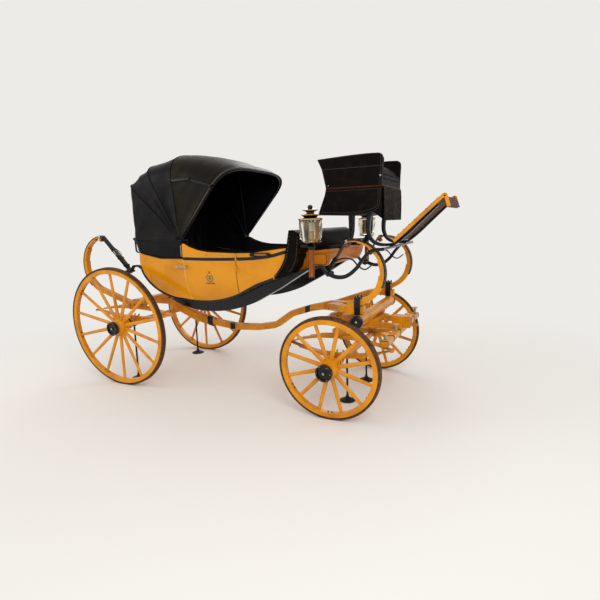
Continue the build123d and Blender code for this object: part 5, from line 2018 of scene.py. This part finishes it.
@dataclass
class Footboard:
    """The footboard's painted sides, its treads and the heads of its bolts."""

    def build(self) -> None:
        """Builds the side strips, the bolts and the treads."""
        line = np.array([(2662, 1407), (3040, 1750), (3050, 1752), (3057, 1743), (3081, 1664)],
                        float)
        curve = np.concatenate([np.linspace(line[0], line[1], 30),
                                smooth_line(line[1:], 24)[1:]])
        strips, heads = [], []
        for _, hand in HANDS:
            path = spot(curve[:, 0], hand * 290.5, curve[:, 1])
            strips.append(carried(path, strap_section(0.006, 0.029, 0.1), (0, 1, 0)))
            heads += [stud(2520 + 470 * share, 258, 1378 + 298 * (share - 0.3) / 0.7, hand,
                           8, 5) for share in (0.3, 0.55, 0.8)]
            heads += [stud(2301, 270, up, hand, 8, 5) for up in (1600, 1540, 1480)]
        make("footboard_sides", strips, GEAR_PAINT, "carriage")
        make("seat_iron_bolts", heads, BLACK_PAINT, "carriage")
        treads = []
        for share in np.linspace(0.12, 0.9, 8):
            ahead, up = line[0] + (line[1] - line[0]) * share + (-11.5, 12.6)
            treads.append(tube(spot(ahead, np.linspace(-280, 280, 20), up), 0.004, (1, 0, 0),
                               8))
        make("footboard_treads", treads, BOX_HIDE, "carriage")


@dataclass
class Irons:
    """Forged irons that carry the seat, the footboard and the front loops, as smooth curves.

    Each is a bar whose width tapers along a curve through the places where it is fixed.
    """

    def bar(self, points: Points, wide: float, end: float, thick: float,
            across: float) -> Surface:
        """One tapered bar in a plane beside the carriage; sizes in millimetres.

        Args:
            points: Its side-view places.
            wide: Its width at the start.
            end: Its width at the end.
            thick: Its thickness.
            across: The plane's place.

        Returns:
            The surface.
        """
        curve = smooth_line(points, 70)
        return carried(spot(curve[:, 0], across, curve[:, 1]),
                       strap_section(thick / 1000, 0.01, 0.3), (0, 1, 0),
                       scale=np.linspace(wide, end, 70) / 10)

    def build(self) -> None:
        """Builds the S irons with their cross bar, and the seat's and board's stays."""
        s_bars, stays = [], []
        for _, hand in HANDS:
            y = hand * 527.3
            s_bars.append(self.bar([(2190, 1160), (2262, 1136), (2345, 1146), (2425, 1206),
                                    (2484, 1284), (2552, 1346), (2648, 1359)], 34, 25, 16, y))
            s_bars.append(self.bar([(2226, 1236), (2280, 1274), (2340, 1288), (2400, 1274),
                                    (2446, 1226), (2500, 1202), (2558, 1240)], 13, 10, 14, y))
            s_bars.append(turned([(-10, 0), (-10, 20), (-8, 22), (8, 22), (10, 20), (10, 0)],
                                 spot(2190, y, 1160), (0, hand, 0), 28))
            y = hand * 240
            stays.append(self.bar([(2451, 1634), (2440, 1560), (2440, 1486), (2466, 1420),
                                   (2520, 1384), (2590, 1376), (2664, 1384)], 40, 20, 32, y))
            stays.append(self.bar([(2590, 1376), (2664, 1386), (2760, 1458), (2870, 1562),
                                   (2996, 1681)], 20, 14, 32, y))
            y = hand * 262
            stays.append(self.bar([(2303, 1622), (2303, 1540), (2298, 1470), (2272, 1400),
                                   (2200, 1366), (2090, 1357), (1990, 1348)], 56, 30, 16, y))
        s_bars.append(tube(spot(2640, np.linspace(-535, 535, 8), 1358.7), 0.012, (1, 0, 0),
                           16))
        for name, bars, node in (("s_iron_bars", s_bars, "s_irons"),
                                 ("seat_stays", stays, "seat_irons")):
            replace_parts(make(name, bars, BLACK_PAINT, "carriage"), node)


@dataclass
class Lamps:
    """Brass mounts, fluted glass, reflector and candle of both lamps."""

    ahead: float = 2130.0
    across: float = 720.0
    flutes: int = 12
    # Finish, faces round and profile of height and radius of each turned piece
    turnings: tuple[tuple[str, int, tuple[tuple[float, float], ...]], ...] = (
        ("brass", 56, ((1590, 80), (1592, 92), (1600, 93), (1605, 87), (1605, 70),
                       (1590, 80))),
        ("brass", 56, ((1626, 60), (1628, 69), (1633, 70), (1636, 62), (1638, 40),
                       (1626, 60))),
        ("brass", 56, ((1662, 50), (1664, 59), (1669, 60), (1672, 50), (1674, 24),
                       (1662, 50))),
        ("brass", 56, ((1418, 50), (1420, 64), (1427, 68), (1431, 66), (1431, 58),
                       (1418, 50))),
        ("brass", 32, ((1448, 13.4), (1448, 16), (1505, 16), (1509, 13.4), (1448, 13.4))),
        ("copper", 40, ((1157, 21), (1157, 23.5), (1163, 24), (1167, 22.7), (1356, 22.7),
                        (1360, 25), (1366, 25), (1368, 21), (1157, 21))),
        ("copper", 32, ((1434, 20), (1436, 34), (1440, 34), (1446, 17), (1446, 13.5),
                        (1434, 20))),
        ("wax", 24, ((1505, 13.2), (1505, 13.9), (1566, 13.9), (1570, 9), (1570, 0))),
        ("dark", 28, ((1676, 0), (1678, 14), (1684, 19), (1692, 20), (1700, 15), (1705, 6),
                      (1705.8, 0))),
        ("dark", 32, ((1372, 18), (1380, 29), (1390, 33), (1400, 29), (1410, 18),
                      (1372, 18))),
    )

    def glass(self, foot: np.ndarray) -> Surface:
        """A closed fluted cylinder of glass; its radius follows a raised cosine.

        Args:
            foot: The lamp's place on the ground.

        Returns:
            The surface.
        """
        turn = np.linspace(0, 2 * math.pi, 192, endpoint=False)
        flute = np.abs(np.cos(turn * self.flutes / 2)) ** 0.6 * 5.5
        levels = np.array([(1429, 0, 60), (1429, 1, 62), (1438, 1, 70), (1460, 1, 77),
                           (1500, 1, 82), (1560, 1, 83.2), (1583, 1, 82), (1591, 1, 79),
                           (1591, 0, 77)])
        up, outer, base = levels.T
        radius = base[:, None] + outer[:, None] * flute[None]
        rows = np.stack([radius * np.cos(turn), radius * np.sin(turn),
                         np.broadcast_to(up[:, None], radius.shape)], -1) / 1000
        return grid(np.concatenate([rows, rows[:1]]) + foot, wrap=True)

    def build(self) -> None:
        """Builds both lamps' dressing."""
        pieces = {"glass": ("lamp_fluted_glass", LAMP_GLASS, "lamp_glass"),
                  "brass": ("lamp_brass", BRASS, "lamp_metal"),
                  "copper": ("lamp_copper", COPPER, "lamp_metal"),
                  "wax": ("lamp_candles", WAX, "lamp_metal"),
                  "dark": ("lamp_finials", BLACK_PAINT, "lamp_metal")}
        parts: dict[str, list[Surface]] = {word: [] for word in pieces}
        bow = np.array([(56.0, 1440), (58.0, 1440), (58.0, 1578), (56.0, 1578), (56.0, 1440)])
        turn = np.linspace(0.5, math.pi - 0.5, 24)
        for _, hand in HANDS:
            foot = spot(self.ahead, hand * self.across, 0)
            parts["glass"].append(self.glass(foot))
            for word, steps, profile in self.turnings:
                parts[word].append(turned(profile, foot, (0, 0, 1), steps))
            rows = np.stack([bow[:, :1] * np.cos(turn), hand * -bow[:, :1] * np.sin(turn),
                             bow[:, 1:] + 0 * turn], -1) / 1000
            parts["brass"].append(grid(rows + foot))
        for word, (name, finish, slot) in pieces.items():
            made = make(name, parts[word], finish, "carriage")
            if word == "glass":
                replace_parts(made, "lamp_glasses")


# ---- Studio -------------------------------------------------------------------------------


def placed(obj: bpy.types.Object, right: Points, up: Points, back: Points,
           place: Points) -> None:
    """Puts an object at a place with its axes along three directions.

    Args:
        obj: The object.
        right: Its x axis.
        up: Its y axis.
        back: Its z axis.
        place: The place.
    """
    frame = np.eye(4)
    frame[:3, :3] = np.stack([right, up, back], -1)
    frame[:3, 3] = place
    obj.matrix_world = Matrix(frame.tolist())


@dataclass
class Studio:
    """The floor, the lamps and the camera at the photograph's viewpoint."""

    eye: tuple[float, float, float] = (3.559, -3.928, 1.580)
    right: tuple[float, float, float] = (0.9037, 0.4273, -0.0282)
    up: tuple[float, float, float] = (-0.0471, 0.1647, 0.9853)
    lens: float = 27.32
    floor_half: float = 40.0

    def lamp(self, name: str, place: Points, target: Points, size: float,
             watts: float) -> None:
        """A round soft lamp that looks at a target.

        Args:
            name: Its name.
            place: Its place.
            target: The target.
            size: Its width.
            watts: Its power.
        """
        data = bpy.data.lights.new(name, "AREA")
        data.shape = "DISK"
        data.size = size
        data.energy = watts
        way = unit(np.array(place) - np.array(target))
        side = unit(np.cross((0, 0, 1), way))
        placed(linked(name, data), side, np.cross(way, side), way, place)

    def build(self) -> None:
        """Builds the floor, the world, the lamps and the camera."""
        reach = self.floor_half
        mesh = bpy.data.meshes.new("floor")
        mesh.from_pydata([(-reach, -reach, 0), (reach, -reach, 0), (reach, reach, 0),
                          (-reach, reach, 0)], [], [(0, 1, 2, 3)])
        mesh.materials.append(GROUND.material())
        linked("floor", mesh)

        world = bpy.data.worlds.new("studio")
        bpy.context.scene.world = world
        world.use_nodes = True
        tree = world.node_tree
        tree.nodes.clear()
        strength = add(tree, "MapRange", {0: seen_ray(tree), 3: 0.9})
        light = add(tree, "Background", {"Color": linear(GROUND.far), "Strength": strength})
        add(tree, "OutputWorld", {"Surface": light})

        self.lamp("key", (3.6, -4.6, 4.2), (0, 0, 1.0), 2.6, 130)
        self.lamp("fill", (-4.5, -3.5, 3.0), (0, 0, 1.0), 3.0, 40)
        self.lamp("back", (-1.0, 4.8, 4.0), (0, 0, 1.2), 3.0, 60)

        data = bpy.data.cameras.new("photo_view")
        data.lens = self.lens
        data.sensor_width = 36.0
        data.clip_end = 200.0
        camera = linked("photo_view", data)
        right = unit(np.array(self.right))
        back = unit(np.cross(right, self.up))
        placed(camera, right, np.cross(back, right), back,
               np.array(self.eye) - (AXLE_BACK, 0, 0))
        bpy.context.scene.camera = camera
        bpy.context.scene.view_settings.view_transform = "Standard"


def dress_nodes(nodes: dict) -> None:
    """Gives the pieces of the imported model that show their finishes.

    Args:
        nodes: The frame's objects by name.
    """
    for finish, names in DRESSED:
        for name in names.split():
            for word in [word for word, _ in HANDS] if "*" in name else [""]:
                node = nodes[name.replace("*", word)]
                node.data.materials.clear()
                node.data.materials.append(finish.material())
                log.info("%s: %s", node.name, finish.name)


CUSHIONS = (
    Cushion("rear_cushion", "seat_leather", SEAT_HIDE, (304, -526, 1176), (704, 526, 1286),
            crown=20, buttons=(3, 9), node="seat_cushions"),
    Cushion("front_cushion", "seat_leather", SEAT_HIDE, (1504, -526, 1239),
            (1776, 526, 1298), crown=14, buttons=(2, 9)),
    Cushion("driver_cushion_stuffed", "seat_black", BOX_HIDE, (2106, -272, 1901),
            (2572, 272, 2024), crown=18, lean=-0.06, node="driver_cushion"),
)
# Place, place ahead of the rear axle, radius, spokes and reach of the cap
WHEELS = (("rear", 0, 600, 14, 74), ("front", 2255, 428, 12, 112))


def main() -> None:
    """Builds the carriage's looks, sub-assembly by sub-assembly."""
    logging.basicConfig(level=logging.INFO, format="%(message)s")
    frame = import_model()
    dress_nodes(frame["nodes"])
    wheels = [Wheel(place, word, hand, *sizes) for place, *sizes in WHEELS
              for word, hand in HANDS]
    for part in (Hood(), *CUSHIONS, Squab(), *wheels, RunningGear(), Bodywork(), DriverSeat(),
                 Footboard(), Irons(), Lamps(), Studio()):
        log.info("building %s", type(part).__name__)
        part.build()


if __name__ == "__main__":
    main()
